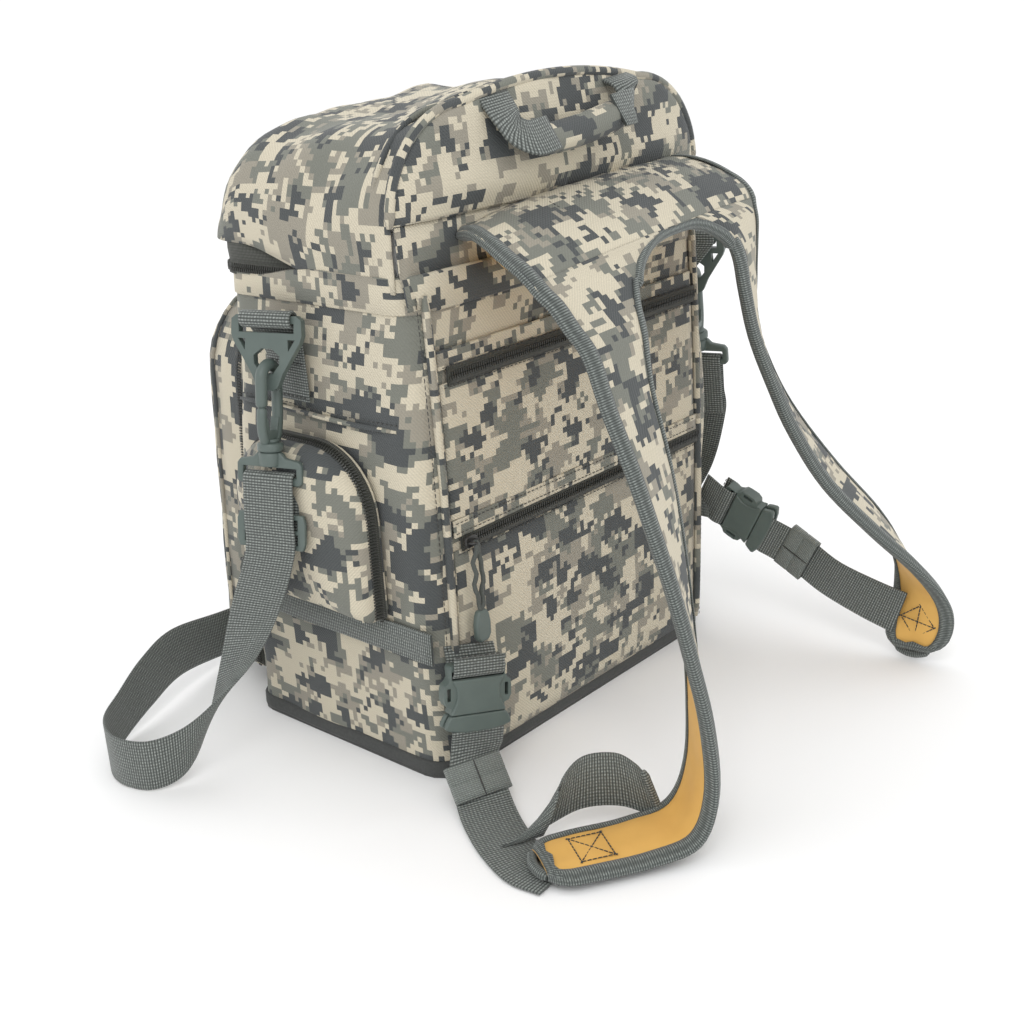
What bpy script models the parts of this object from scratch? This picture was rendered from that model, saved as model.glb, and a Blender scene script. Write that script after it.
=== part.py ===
"""Insulated backpack cooler bag, modelled as the separate pieces that it is sewn and clipped from.

Metres, +Z up. The origin is the centre of the base's underside. The harness is on the -Y side.
"""

import math

import bmesh
import bpy
from mathutils import Matrix, Vector

# Driving dimensions
HALF_WIDTH = 0.162
BACK_Y = 0.105
FRONT_Y_BASE = 0.106
FRONT_Y_RIM = 0.078
RIM_Z = 0.339
TOP_Z = 0.455
PARTING_Z = 0.3488
CORNER_RADIUS = 0.020
BARREL = 0.004
FABRIC = 0.0018
FOAM = 0.008
LINER = 0.0011
GAP = 0.0003
WEBBING_WIDTH = 0.038
WEBBING = 0.0018
RING_TAB_WIDTH = 0.031
CROOK_RADIUS = 0.009
CROOK_V = -0.0385

# The lid
LID_HALF_WIDTH = 0.158
LID_BACK_Y = 0.092
LID_FRONT_Y = 0.088
LID_FRONT_LEAN = 0.32
LID_SHOULDER_RADIUS = 0.066
LID_SKIN = 0.0025
HINGE_Z = 0.3795
HINGE_Y = -0.0935

# The harness side's two zipped pockets
UPPER_ZIP_Z = 0.284
LOWER_ZIP_Z = 0.172
ZIP_HALF_HEIGHT = 0.006
ZIP_HALF_LENGTH = 0.142

# Side pockets and the webbing band under them
SIDE_POCKET_HALF_WIDTH = 0.062
SIDE_POCKET_LOW_Z = 0.1195
SIDE_POCKET_TOP_Z = 0.234
SIDE_POCKET_DEPTH = 0.024
BAND_LOW_Z = 0.093
BAND_TOP_Z = 0.116

# Front pocket, measured along the leaning front wall
FRONT_POCKET_HALF_WIDTH = 0.138
FRONT_POCKET_LOW = 0.022
FRONT_POCKET_TOP = 0.312
FRONT_POCKET_DEPTH = 0.030

# Yoke and padded straps
STRAP_THICKNESS = 0.008

COLOURS = {
    "camo": ((0.55, 0.53, 0.46), 0.85),
    "webbing": ((0.30, 0.34, 0.33), 0.80),
    "plastic": ((0.28, 0.33, 0.32), 0.45),
    "zip": ((0.07, 0.07, 0.06), 0.60),
    "lining": ((0.80, 0.81, 0.80), 0.35),
    "foam": ((0.88, 0.88, 0.85), 0.90),
    "base": ((0.13, 0.14, 0.14), 0.75),
}


def clear_scene():
    for thing in list(bpy.data.objects):
        bpy.data.objects.remove(thing, do_unlink=True)


def make_materials():
    made = {}
    for name, (colour, roughness) in COLOURS.items():
        material = bpy.data.materials.new(name)
        material.use_nodes = True
        shader = material.node_tree.nodes["Principled BSDF"]
        shader.inputs["Base Color"].default_value = (*colour, 1.0)
        shader.inputs["Roughness"].default_value = roughness
        shader.inputs["Metallic"].default_value = 0.0
        made[name] = material
    return made


def add_object(name, bm, material, origin=(0, 0, 0), smooth=False):
    """Links a closed mesh as an object whose origin is at the given point."""
    bmesh.ops.recalc_face_normals(bm, faces=bm.faces[:])
    bmesh.ops.translate(bm, vec=-Vector(origin), verts=bm.verts[:])
    mesh = bpy.data.meshes.new(name)
    bm.to_mesh(mesh)
    bm.free()
    made = bpy.data.objects.new(name, mesh)
    bpy.context.scene.collection.objects.link(made)
    made.location = origin
    made.data.materials.append(material)
    if smooth:
        mesh.shade_smooth()
        mesh.set_sharp_from_angle(angle=math.radians(40))
    return made


def as_helper(thing):
    thing.hide_render = True
    thing.display_type = "WIRE"
    return thing


def boolean(target, other, operation):
    modifier = target.modifiers.new(operation.title(), "BOOLEAN")
    modifier.operation = operation
    modifier.solver = "EXACT"
    modifier.object = as_helper(other)
    return target


def loft(rings, closed_ring=True, cap=True):
    """Bridges rings of points that all have the same count."""
    bm = bmesh.new()
    rows = [[bm.verts.new(p) for p in ring] for ring in rings]
    count = len(rows[0])
    last = count if closed_ring else count - 1
    for low, high in zip(rows, rows[1:]):
        for i in range(last):
            j = (i + 1) % count
            bm.faces.new((low[i], low[j], high[j], high[i]))
    if cap:
        bm.faces.new(rows[0])
        bm.faces.new(rows[-1])
    return bm


def ring_loft(outer, inner):
    """A tube wall: outer and inner are lists of rings, and the ends between them are closed."""
    bm = bmesh.new()
    outer = [[bm.verts.new(p) for p in ring] for ring in outer]
    inner = [[bm.verts.new(p) for p in ring] for ring in inner]
    loop = outer + inner[::-1]
    count = len(loop[0])
    for low, high in zip(loop, loop[1:] + loop[:1]):
        for i in range(count):
            j = (i + 1) % count
            bm.faces.new((low[i], low[j], high[j], high[i]))
    return bm


def block(low, high):
    corners = [(low[0], low[1]), (high[0], low[1]), (high[0], high[1]), (low[0], high[1])]
    return loft([[(x, y, z) for x, y in corners] for z in (low[2], high[2])])


def prism(outline, place, near, far):
    """A flat outline in the first two axes of place, given thickness along the third."""
    return loft([[place @ Vector((a, b, d)) for a, b in outline] for d in (near, far)])


def frame_prism(outer, inner, place, near, far):
    """Like prism, with a hole of the same number of points."""
    outer = [[place @ Vector((a, b, d)) for a, b in outer] for d in (near, far)]
    inner = [[place @ Vector((a, b, d)) for a, b in inner] for d in (near, far)]
    return ring_loft(outer, inner)


def strip(points, sides, widths, thickness):
    """A flat strap along points. Each side vector gives the direction of its width there."""
    rings = []
    last = len(points) - 1
    for i, (point, side) in enumerate(zip(points, sides)):
        ahead = points[min(i + 1, last)] - points[max(i - 1, 0)]
        across = side.normalized()
        across = (across - ahead * across.dot(ahead) / ahead.length_squared).normalized()
        normal = ahead.cross(across).normalized()
        width = widths[i] if isinstance(widths, list) else widths
        a = across * (width / 2)
        n = normal * (thickness / 2)
        rings.append([point - a - n, point + a - n, point + a + n, point - a + n])
    return loft(rings)


def rod(points, radius, sides=8):
    """A round bar along points."""
    rings = []
    last = len(points) - 1
    across = None
    for i, point in enumerate(points):
        ahead = (points[min(i + 1, last)] - points[max(i - 1, 0)]).normalized()
        if across is None:
            across = ahead.orthogonal().normalized()
        across = (across - ahead * across.dot(ahead)).normalized()
        other = ahead.cross(across)
        turns = [2 * math.pi * k / sides for k in range(sides)]
        rings.append([point + (across * math.cos(t) + other * math.sin(t)) * radius for t in turns])
    return loft(rings)


def smooth_path(points, step):
    """Points about one step apart on a smooth curve through the given ones."""
    route = [Vector(p) for p in points]
    ends = [2 * route[0] - route[1]] + route + [2 * route[-1] - route[-2]]
    found = [route[0]]
    for before, start, end, after in zip(ends, ends[1:], ends[2:], ends[3:]):
        count = max(1, round((end - start).length / step))
        for k in range(1, count + 1):
            t = k / count
            found.append(
                0.5
                * (
                    2 * start
                    + (end - before) * t
                    + (2 * before - 5 * start + 4 * end - after) * t * t
                    + (3 * start - before - 3 * end + after) * t * t * t
                )
            )
    return found


def smooth_strap(stations, step, thickness):
    """A strap through stations of (place, width direction, width), smoothed between them."""
    places = smooth_path([place for place, side, width in stations], step)
    sides = []
    widths = []
    for start, end in zip(stations, stations[1:]):
        count = max(1, round((Vector(end[0]) - Vector(start[0])).length / step))
        for k in range(count):
            t = k / count
            sides.append(Vector(start[1]).normalized().lerp(Vector(end[1]).normalized(), t))
            widths.append(start[2] + (end[2] - start[2]) * t)
    sides.append(Vector(stations[-1][1]))
    widths.append(stations[-1][2])
    return strip(places, sides, widths, thickness)


# The body: outer wall, base, foam and liner


def front_y(z):
    return FRONT_Y_BASE + (FRONT_Y_RIM - FRONT_Y_BASE) * z / RIM_Z


def barrel(z):
    """How far the wall pulls in at the base and the rim."""
    return BARREL * (2 * z / RIM_Z - 1) ** 2


def wall_outline(z, inset):
    """The body's outline at height z, moved in by inset, with arcs at its corners."""
    pull = inset + barrel(z)
    x = HALF_WIDTH - pull
    low = -BACK_Y + pull
    high = front_y(z) - pull
    radius = CORNER_RADIUS - inset
    corners = [(x, low, -90), (x, high, 0), (-x, high, 90), (-x, low, 180)]
    points = []
    for cx, cy, start in corners:
        cx -= math.copysign(radius, cx)
        cy += radius if cy == low else -radius
        for k in range(5):
            turn = math.radians(start + 22.5 * k)
            points.append(Vector((cx + radius * math.cos(turn), cy + radius * math.sin(turn), z)))
    return points


def outer_shell(materials):
    levels = [0.0026, 0.05, 0.11, 0.17, 0.23, 0.29, RIM_Z]
    outer = [wall_outline(z, 0) for z in levels]
    inner = [wall_outline(z, FABRIC) for z in levels]
    add_object("outer_shell", ring_loft(outer, inner), materials["camo"], smooth=True)


def base_panel(materials):
    rings = [[Vector((p.x, p.y, z)) for p in wall_outline(0, -0.0005)] for z in (0, 0.0022)]
    add_object("base_panel", loft(rings), materials["base"])


def cut_corners(x, low, high, cut, z):
    """A rectangle from -x to x and low to high at height z, with its corners cut off."""
    right = [(x - cut, low), (x, low + cut), (x, high - cut), (x - cut, high)]
    left = [(-a, b) for a, b in reversed(right)]
    return [Vector((a, b, z)) for a, b in right + left]


def insulation(materials):
    """Five foam sheets between the outer wall and the liner, bevelled where they meet at the corners."""
    skin = FABRIC + GAP + BARREL
    low = 0.0028
    top = RIM_Z - 0.001
    side_x = HALF_WIDTH - skin
    back = -BACK_Y + skin
    corner_x = HALF_WIDTH - BARREL - CORNER_RADIUS
    foam = materials["foam"]
    edge = 0.004
    front = front_y(0) - skin - edge
    floor = [cut_corners(side_x - edge, back + edge, front, FOAM, z) for z in (low, low + FOAM)]
    add_object("foam_base", loft(floor), foam)
    wall_low = low + FOAM + GAP
    for end, name in ((-1, "foam_back"), (1, "foam_front")):
        rings = []
        for z in (wall_low, top):
            outer = back if end < 0 else front_y(z) - skin
            inner = outer - end * FOAM
            long_x = side_x - FOAM
            ring = [(-corner_x, outer), (corner_x, outer), (long_x, inner), (-long_x, inner)]
            rings.append([Vector((x, y, z)) for x, y in ring])
        add_object(name, loft(rings), foam)
    for side, name in ((-1, "foam_left"), (1, "foam_right")):
        rings = []
        for z in (wall_low, top):
            near = back + FOAM + GAP
            far = front_y(z) - skin - FOAM - GAP
            bevel = CORNER_RADIUS - 2 * FABRIC - FOAM
            inner = side * (side_x - FOAM)
            outer = side * side_x
            ring = [(inner, near), (outer, near + bevel), (outer, far - bevel), (inner, far)]
            rings.append([Vector((x, y, z)) for x, y in ring])
        add_object(name, loft(rings), foam)


def liner_outline(z, inset):
    skin = FABRIC + 3 * GAP + BARREL + FOAM + inset
    x = HALF_WIDTH - skin
    low = -BACK_Y + skin
    high = front_y(z) - skin
    return [Vector(p) for p in ((-x, low, z), (x, low, z), (x, high, z), (-x, high, z))]


def liner(materials):
    floor = 0.0028 + FOAM + 2 * GAP
    top = RIM_Z - 0.001
    rings = [liner_outline(floor, 0), liner_outline(top, 0)]
    rings += [liner_outline(top, LINER), liner_outline(floor + LINER, LINER)]
    add_object("liner", loft(rings), materials["lining"])


def lid_zip(materials):
    """The body's half of the lid zip, round the front and both sides of the rim."""
    stops = [p for p in wall_outline(RIM_Z, 0.003) if p.y > -0.05]
    ends = [Vector((side * (HALF_WIDTH - BARREL - 0.003), -0.07, 0)) for side in (1, -1)]
    path = [ends[0]] + stops + [ends[1]]
    path = [Vector((p.x, p.y, (RIM_Z + GAP + PARTING_Z - GAP) / 2)) for p in path]
    sides = [Vector((0, 0, 1))] * len(path)
    height = PARTING_Z - RIM_Z - 3 * GAP
    add_object("lid_zip", strip(path, sides, height, 0.0025), materials["zip"])


# The lid: an arched band closed by a front and a back panel


def arch(inset, low_z, steps=6):
    """The lid's arch outline in X and Z, from its right foot over to its left foot."""
    radius = LID_SHOULDER_RADIUS
    half = LID_HALF_WIDTH - inset
    shoulder_z = TOP_Z - 0.010 - radius
    crown = 0.010
    right = [(half, low_z)]
    for k in range(steps + 1):
        turn = math.pi / 2 * k / steps
        x = LID_HALF_WIDTH - radius + (radius - inset) * math.cos(turn)
        right.append((x, shoulder_z + (radius - inset) * math.sin(turn)))
    flat = LID_HALF_WIDTH - radius
    for k in (1, 2):
        x = flat * (1 - k / 3)
        rise = crown * (1 - (x / flat) ** 2)
        right.append((x, TOP_Z - 0.010 - inset + rise))
    middle = [(0, TOP_Z - inset)]
    return right + middle + [(-x, z) for x, z in reversed(right)]


def lid_front(z):
    return LID_FRONT_Y - LID_FRONT_LEAN * (z - PARTING_Z)


def arch_solid(inset, back_gap, front_gap, low_z):
    """The arch filled in between the lid's back plane and its leaning front plane."""
    outline = arch(inset, low_z)
    back = [(x, -LID_BACK_Y + back_gap, z) for x, z in outline]
    front = [(x, lid_front(z) - front_gap, z) for x, z in outline]
    return loft([back, front])


def lid(materials):
    camo = materials["camo"]
    cover = add_object("lid_cover", arch_solid(0, 0, 0, PARTING_Z), camo, smooth=True)
    room = arch_solid(LID_SKIN, -0.02, LID_SKIN, PARTING_Z - 0.02)
    boolean(cover, add_object("lid_cover_cutter", room, camo), "DIFFERENCE")
    plate = 0.0020
    outline = arch(0, HINGE_Z + 0.0008)
    near = [(x, -LID_BACK_Y - 0.0005, z) for x, z in outline]
    far = [(x, -LID_BACK_Y - 0.0005 - plate, z) for x, z in outline]
    add_object("lid_back_panel", loft([near, far]), camo)
    lined = LID_SKIN + 0.0004
    lining = add_object(
        "lid_lining", arch_solid(lined, 0.0004, lined, PARTING_Z + 0.001), materials["lining"]
    )
    room = arch_solid(lined + FOAM, 0.0004 + FOAM, lined + FOAM, PARTING_Z - 0.01)
    boolean(lining, add_object("lid_lining_cutter", room, materials["lining"]), "DIFFERENCE")


def hinge_strip(materials):
    """The fabric between the rim and the lid's back panel. The yoke is sewn to it."""
    half = LID_HALF_WIDTH
    low = (-half, -LID_BACK_Y - 0.0025, RIM_Z + 0.0006)
    high = (half, -LID_BACK_Y - 0.0005, HINGE_Z - 0.0015)
    add_object("hinge_strip", block(low, high), materials["camo"])


HANDLE_LEFT = Vector((-0.062, -0.0990, 0.4330))
HANDLE_RIGHT = Vector((0.062, -0.0990, 0.4450))


def lid_handle(materials):
    """The grab handle: a padded grip on a webbing whose ends curl up to the lid's back seam."""
    ends = [HANDLE_LEFT, HANDLE_RIGHT]
    along = (ends[1] - ends[0]).normalized()
    drop = Vector((0, -0.013, -0.017))
    left = [ends[0], ends[0] + along * 0.004 + drop * 0.55, ends[0] + along * 0.016 + drop * 0.95]
    right = [ends[1], ends[1] - along * 0.004 + drop * 0.55, ends[1] - along * 0.016 + drop * 0.95]
    inner = [ends[0] + along * 0.032 + drop, ends[1] - along * 0.032 + drop]
    path = smooth_path(left + inner + right[::-1], 0.008)
    grip_points = [ends[0] + along * 0.020 + drop, ends[1] - along * 0.020 + drop]
    grip = add_object("handle_grip", rod(grip_points, 0.009, 12), materials["camo"], ends[0], True)
    straps = add_object("handle_webbing", rod(path, 0.004, 8), materials["webbing"], ends[0])
    boolean(grip, straps, "UNION")


# Pockets and zips on the harness side


def back_plate(x_low, x_high, z_low, z_high, near, far):
    """A plate that follows the harness side's wall, from near to far outside it."""
    rings = []
    for k in range(4):
        z = z_low + (z_high - z_low) * k / 3
        wall = -BACK_Y + barrel(z)
        corners = ((x_low, far), (x_high, far), (x_high, near), (x_low, near))
        rings.append([(x, wall - out, z) for x, out in corners])
    return loft(rings)


def back_pockets(materials):
    half = HALF_WIDTH - CORNER_RADIUS - 0.003
    upper_top = UPPER_ZIP_Z - ZIP_HALF_HEIGHT - GAP
    upper_low = LOWER_ZIP_Z + ZIP_HALF_HEIGHT + 0.004
    lower_top = LOWER_ZIP_Z - ZIP_HALF_HEIGHT - GAP
    near = GAP
    far = GAP + 0.0022
    camo = materials["camo"]
    add_object("back_upper_pocket", back_plate(-half, half, upper_low, upper_top, near, far), camo)
    add_object("back_lower_pocket", back_plate(-half, half, 0.012, lower_top, near, far), camo)
    for name, z in (("back_upper_zip", UPPER_ZIP_Z), ("back_lower_zip", LOWER_ZIP_Z)):
        low = z - ZIP_HALF_HEIGHT
        high = z + ZIP_HALF_HEIGHT
        tape = back_plate(-ZIP_HALF_LENGTH, ZIP_HALF_LENGTH, low, high, near, 0.003)
        add_object(name, tape, materials["zip"])


# Zip sliders with their cord pullers

PULLER_LENGTH = 0.070
PIN_OUT = 0.0074
DOWN = Vector((0, 0, -1))


def axes_place(origin, first, second, third):
    turn = Matrix((Vector(first), Vector(second), Vector(third))).transposed()
    return Matrix.Translation(Vector(origin)) @ turn.to_4x4()


def circle(radius, count, start=0.0):
    turns = [start + 2 * math.pi * k / count for k in range(count)]
    return [(radius * math.cos(t), radius * math.sin(t)) for t in turns]


def rectangle(low_a, high_a, low_b, high_b):
    return [(low_a, low_b), (high_a, low_b), (high_a, high_b), (low_a, high_b)]


def zip_slider(name, seat, out, along, materials):
    """A slider standing on its zip's face, and the puller that hangs from its bridge.

    seat is on the zip's face, out is the face's outward normal and along the zip's direction.
    The puller turns on the bridge's level bar, so its origin is there.
    """
    seat, out, along = Vector(seat), Vector(out), Vector(along)
    place = axes_place(seat, along, out.cross(along), out)
    half = [(-0.0055, -0.0025), (-0.002, -0.0042), (0.003, -0.0042), (0.0055, -0.002)]
    outline = half + [(x, -y) for x, y in reversed(half)]
    slider = add_object(name + "_slider", prism(outline, place, GAP, 0.0038), materials["zip"], seat)
    level = DOWN.cross(out).normalized()
    pin = seat + out * PIN_OUT
    foot = seat + out * 0.0030
    bar = [foot - level * 0.0031, pin - level * 0.0031, pin + level * 0.0031, foot + level * 0.0031]
    bridge = add_object(name + "_bridge", rod(bar, 0.0007, 6), materials["zip"], seat)
    boolean(slider, bridge, "UNION")
    hang = axes_place(pin, out, DOWN, out.cross(DOWN))
    outer = circle(0.0026, 12)
    for k, a in ((2, 0.0012), (3, 0.0), (4, -0.0012)):
        outer[k] = (a, PULLER_LENGTH - 0.012)
    cord = frame_prism(outer, circle(0.0013, 12), hang, -0.0011, 0.0011)
    puller = add_object(name + "_puller", cord, materials["webbing"], pin)
    tip_place = axes_place(pin, level, DOWN, level.cross(DOWN))
    low = PULLER_LENGTH - 0.018
    edge = [(-0.0032, low), (0.0032, low), (0.0048, low + 0.006), (0.0048, low + 0.013)]
    edge += [(0.0030, low + 0.018), (-0.0030, low + 0.018), (-0.0048, low + 0.013), (-0.0048, low + 0.006)]
    tip = add_object(name + "_tip", prism(edge, tip_place, -0.0022, 0.0022), materials["plastic"], pin)
    boolean(puller, tip, "UNION")


def sliders(materials):
    zip_out = GAP + 0.0030
    left, front, back, up = Vector((-1, 0, 0)), Vector((0, 1, 0)), Vector((0, -1, 0)), Vector((0, 0, 1))
    for name, x, z in (("back_lower", -0.127, LOWER_ZIP_Z), ("back_upper", 0.030, UPPER_ZIP_Z)):
        zip_slider(name, (x, -BACK_Y + barrel(z) - zip_out, z), back, -left, materials)
    rim_side = HALF_WIDTH - BARREL - 0.003 + 0.00125
    zip_slider("lid", (rim_side, 0.042, 0.344), -left, front, materials)
    leg_y = SIDE_POCKET_HALF_WIDTH + 0.0004 + 0.0026
    leg_x = HALF_WIDTH + 0.0095
    zip_slider("left_pocket", (-leg_x, leg_y, 0.134), front, up, materials)
    zip_slider("right_pocket", (leg_x, leg_y, 0.134), front, up, materials)
    seat = FRONT_FRAME @ Vector((-FRONT_POCKET_HALF_WIDTH - 0.0030, 0.115, 0.012))
    zip_slider("front_pocket", seat, left, FRONT_UP, materials)


# Pockets on the sides and the front


def pocket_arch(half, low, top, radius, steps=5):
    """A D-shaped outline: a flat foot, straight legs and a rounded top."""
    points = [(half, low)]
    for k in range(steps + 1):
        turn = math.pi / 2 * k / steps
        points.append((half - radius + radius * math.cos(turn), top - radius + radius * math.sin(turn)))
    return points + [(-a, b) for a, b in reversed(points)]


def bowl(outline_at, place, depths, wall):
    """A pouch open towards the wall. outline_at gives the outline for an inset."""
    outer = [[place @ Vector((a, b, d)) for a, b in outline_at(inset)] for inset, d in depths]
    inner = []
    for inset, d in depths:
        floor = d - wall * (d > depths[0][1])
        inner.append([place @ Vector((a, b, floor)) for a, b in outline_at(inset + wall)])
    return loft(outer[::-1] + inner)


def side_pockets(materials):
    """A bulging pouch on each side, with its zip over the arch and the webbing band below."""

    def outline_at(inset):
        return pocket_arch(
            SIDE_POCKET_HALF_WIDTH - inset,
            SIDE_POCKET_LOW_Z + inset,
            SIDE_POCKET_TOP_Z - inset,
            0.046 - inset,
        )

    depths = [(0, 0.0006), (0.001, 0.014), (0.014, 0.021), (0.030, SIDE_POCKET_DEPTH)]
    for side, name in ((-1, "left"), (1, "right")):
        place = axes_place((side * HALF_WIDTH, 0, 0), (0, 1, 0), (0, 0, 1), (side, 0, 0))
        pouch = bowl(outline_at, place, depths, 0.002)
        add_object(name + "_pocket", pouch, materials["camo"], smooth=True)
        path = [place @ Vector((a, b, 0.0085)) for a, b in outline_at(-0.0018)]
        sides = [Vector((1, 0, 0))] * len(path)
        add_object(name + "_pocket_zip", strip(path, sides, 0.009, 0.0026), materials["zip"])
        low = (side * (HALF_WIDTH + 0.0004), -0.080, BAND_LOW_Z)
        high = (side * (HALF_WIDTH + 0.0022), 0.074, BAND_TOP_Z)
        add_object(name + "_band", block(low, high), materials["webbing"])


FRONT_UP = Vector((0, FRONT_Y_RIM - FRONT_Y_BASE, RIM_Z)).normalized()
FRONT_OUT = Vector((0, FRONT_UP.z, -FRONT_UP.y))
FRONT_FRAME = axes_place((0, FRONT_Y_BASE, 0), (1, 0, 0), FRONT_UP, FRONT_OUT)


def front_pocket(materials):
    """A full-height pocket: a gusset on the leaning front wall, its zip, and the panel that opens."""
    radius = 0.055
    gusset_depth = FRONT_POCKET_DEPTH - 0.006

    def outline_at(inset):
        return pocket_arch(
            FRONT_POCKET_HALF_WIDTH - inset,
            FRONT_POCKET_LOW + inset,
            FRONT_POCKET_TOP - inset,
            radius - inset,
        )

    gusset = frame_prism(outline_at(0), outline_at(0.002), FRONT_FRAME, 0.0010, gusset_depth)
    add_object("front_pocket_gusset", gusset, materials["camo"], smooth=True)
    path = [FRONT_FRAME @ Vector((a, b, 0.012)) for a, b in outline_at(-0.0018)]
    tape = strip(path, [FRONT_OUT] * len(path), 0.010, 0.0026)
    add_object("front_pocket_zip", tape, materials["zip"])
    near = gusset_depth + 0.0005
    depths = [(0, near), (0.010, near + 0.008), (0.035, near + 0.014)]
    rings = [[FRONT_FRAME @ Vector((a, b, d)) for a, b in outline_at(inset)] for inset, d in depths]
    sheet = 0.003
    back = []
    for inset, d in depths[1:]:
        back.append([FRONT_FRAME @ Vector((a, b, d - sheet)) for a, b in outline_at(inset + sheet)])
    rim = [[FRONT_FRAME @ Vector((a, b, near)) for a, b in outline_at(sheet)]]
    panel = loft(rings[::-1] + rim + back)
    hinge = FRONT_FRAME @ Vector((0, FRONT_POCKET_LOW, near))
    add_object("front_pocket_panel", panel, materials["camo"], hinge, True)


# Ring, hook and swivel base on each side


LEFT_RING = Vector((-0.178, 0.008, 0.318))
RIGHT_RING = Vector((0.182, -0.076, 0.318))
RING_LEAN = math.radians(10.5)
RING_YAW = math.radians(18)


def ring_place(origin, side):
    """A frame at a ring's top bar: along the bar, up, and out from the bag."""
    bar = Vector((math.sin(RING_YAW), -math.cos(RING_YAW), 0))
    if side < 0:
        up = Vector((math.sin(RING_LEAN), 0, math.cos(RING_LEAN)))
    else:
        up = Vector((-math.sin(RING_LEAN), 0, math.cos(RING_LEAN)))
    up = (up - bar * up.dot(bar)).normalized()
    return axes_place(origin, bar, up, bar.cross(up) * -side)


def cylinder(place, radius, low, high, count=12):
    """A round solid along the second axis of place."""
    rings = [[place @ Vector((a, v, n)) for a, n in circle(radius, count)] for v in (low, high)]
    return loft(rings)


def hardware(origin, side, name, materials):
    """Triangle ring, snap hook and the swivel base that holds the shoulder strap."""
    place = ring_place(origin, side)
    plastic = materials["plastic"]
    half = [(0.026, 0.0022), (0.026, -0.014), (0.0065, -0.045)]
    outline = half + [(-a, b) for a, b in reversed(half)]
    ring = add_object(name + "_ring", prism(outline, place, -0.0022, 0.0022), plastic, origin)
    slot = prism(rectangle(-0.0205, 0.0205, -0.0082, -0.0022), place, -0.01, 0.01)
    boolean(ring, add_object(name + "_ring_slot", slot, plastic, origin), "DIFFERENCE")
    hole = prism([(a, b - 0.0275) for a, b in circle(0.0085, 6)], place, -0.01, 0.01)
    boolean(ring, add_object(name + "_ring_hole", hole, plastic, origin), "DIFFERENCE")

    turns = [math.radians(20 * k) for k in range(10)]
    crook = [(CROOK_RADIUS * math.cos(t), CROOK_V + CROOK_RADIUS * math.sin(t)) for t in turns]
    loop = [(0.0035, -0.083), (0.009, -0.073)] + crook + [(-0.009, -0.073), (-0.0035, -0.083)]
    path = [place @ Vector((0, v, n)) for n, v in loop]
    pivot = place @ Vector((0, -0.085, 0))
    hook = add_object(name + "_hook", rod(path, 0.0038, 8), plastic, pivot, True)
    collar = add_object(name + "_collar", cylinder(place, 0.0085, -0.0862, -0.080), plastic, pivot)
    boolean(hook, collar, "UNION")
    pin = add_object(name + "_pin", cylinder(place, 0.0026, -0.094, -0.0845, 8), plastic, pivot)
    boolean(hook, pin, "UNION")

    half = [(0.0085, -0.0866), (0.025, -0.0935), (0.025, -0.107)]
    outline = half + [(-a, b) for a, b in reversed(half)]
    base = add_object(name + "_hook_base", prism(outline, place, -0.002, 0.002), plastic, origin)
    slot = prism(rectangle(-0.0205, 0.0205, -0.103, -0.0972), place, -0.01, 0.01)
    boolean(base, add_object(name + "_base_slot", slot, plastic, origin), "DIFFERENCE")
    barrel_block = prism(rectangle(-0.0080, 0.0080, -0.0960, -0.0868), place, -0.0065, 0.0065)
    boolean(base, add_object(name + "_base_block", barrel_block, plastic, origin), "UNION")
    socket = add_object(name + "_base_hole", cylinder(place, 0.0031, -0.0955, -0.080, 8), plastic, origin)
    boolean(base, socket, "DIFFERENCE")


def ring_tab(origin, side, sewn_y, name, materials):
    """The webbing tab: sewn low on the wall, up behind the ring, round its bar."""
    place = ring_place(origin, side)
    wall = side * (HALF_WIDTH - 0.0015 + 0.0016)
    route = [Vector((wall, sewn_y, 0.262)), Vector((wall, sewn_y, 0.276)), Vector((wall, sewn_y, 0.290))]
    sides = [Vector((0, -1, 0))] * 3
    bar = place.to_3x3() @ Vector((1, 0, 0))
    route.append((route[-1] + place @ Vector((0, -0.004, -0.0075))) / 2)
    sides.append((sides[0] + bar) / 2)
    route.append(place @ Vector((0, -0.004, -0.0068)))
    sides.append(bar)
    for degrees in (170, 130, 90, 50, 10, -30, -70, -105):
        turn = math.radians(degrees)
        route.append(place @ Vector((0, 0.0048 * math.sin(turn), 0.0048 * math.cos(turn))))
        sides.append(bar)
    add_object(name + "_ring_tab", strip(route, sides, RING_TAB_WIDTH, 0.0016), materials["webbing"])


def strap_over_base(origin, side):
    """Stations of the shoulder strap's end: behind the swivel base, over its bar and down in front."""
    place = ring_place(origin, side)
    bar = place.to_3x3() @ Vector((1, 0, 0))
    section = [(-0.0034, -0.152), (-0.0034, -0.132), (-0.0040, -0.112), (-0.0041, -0.105)]
    section += [(-0.0029, -0.1021), (0.0, -0.1009), (0.0029, -0.1021)]
    section += [(0.0041, -0.105), (0.0040, -0.112), (0.0036, -0.132), (0.0036, -0.156)]
    return [(place @ Vector((0, v, n)), bar, WEBBING_WIDTH) for n, v in section]


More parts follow.
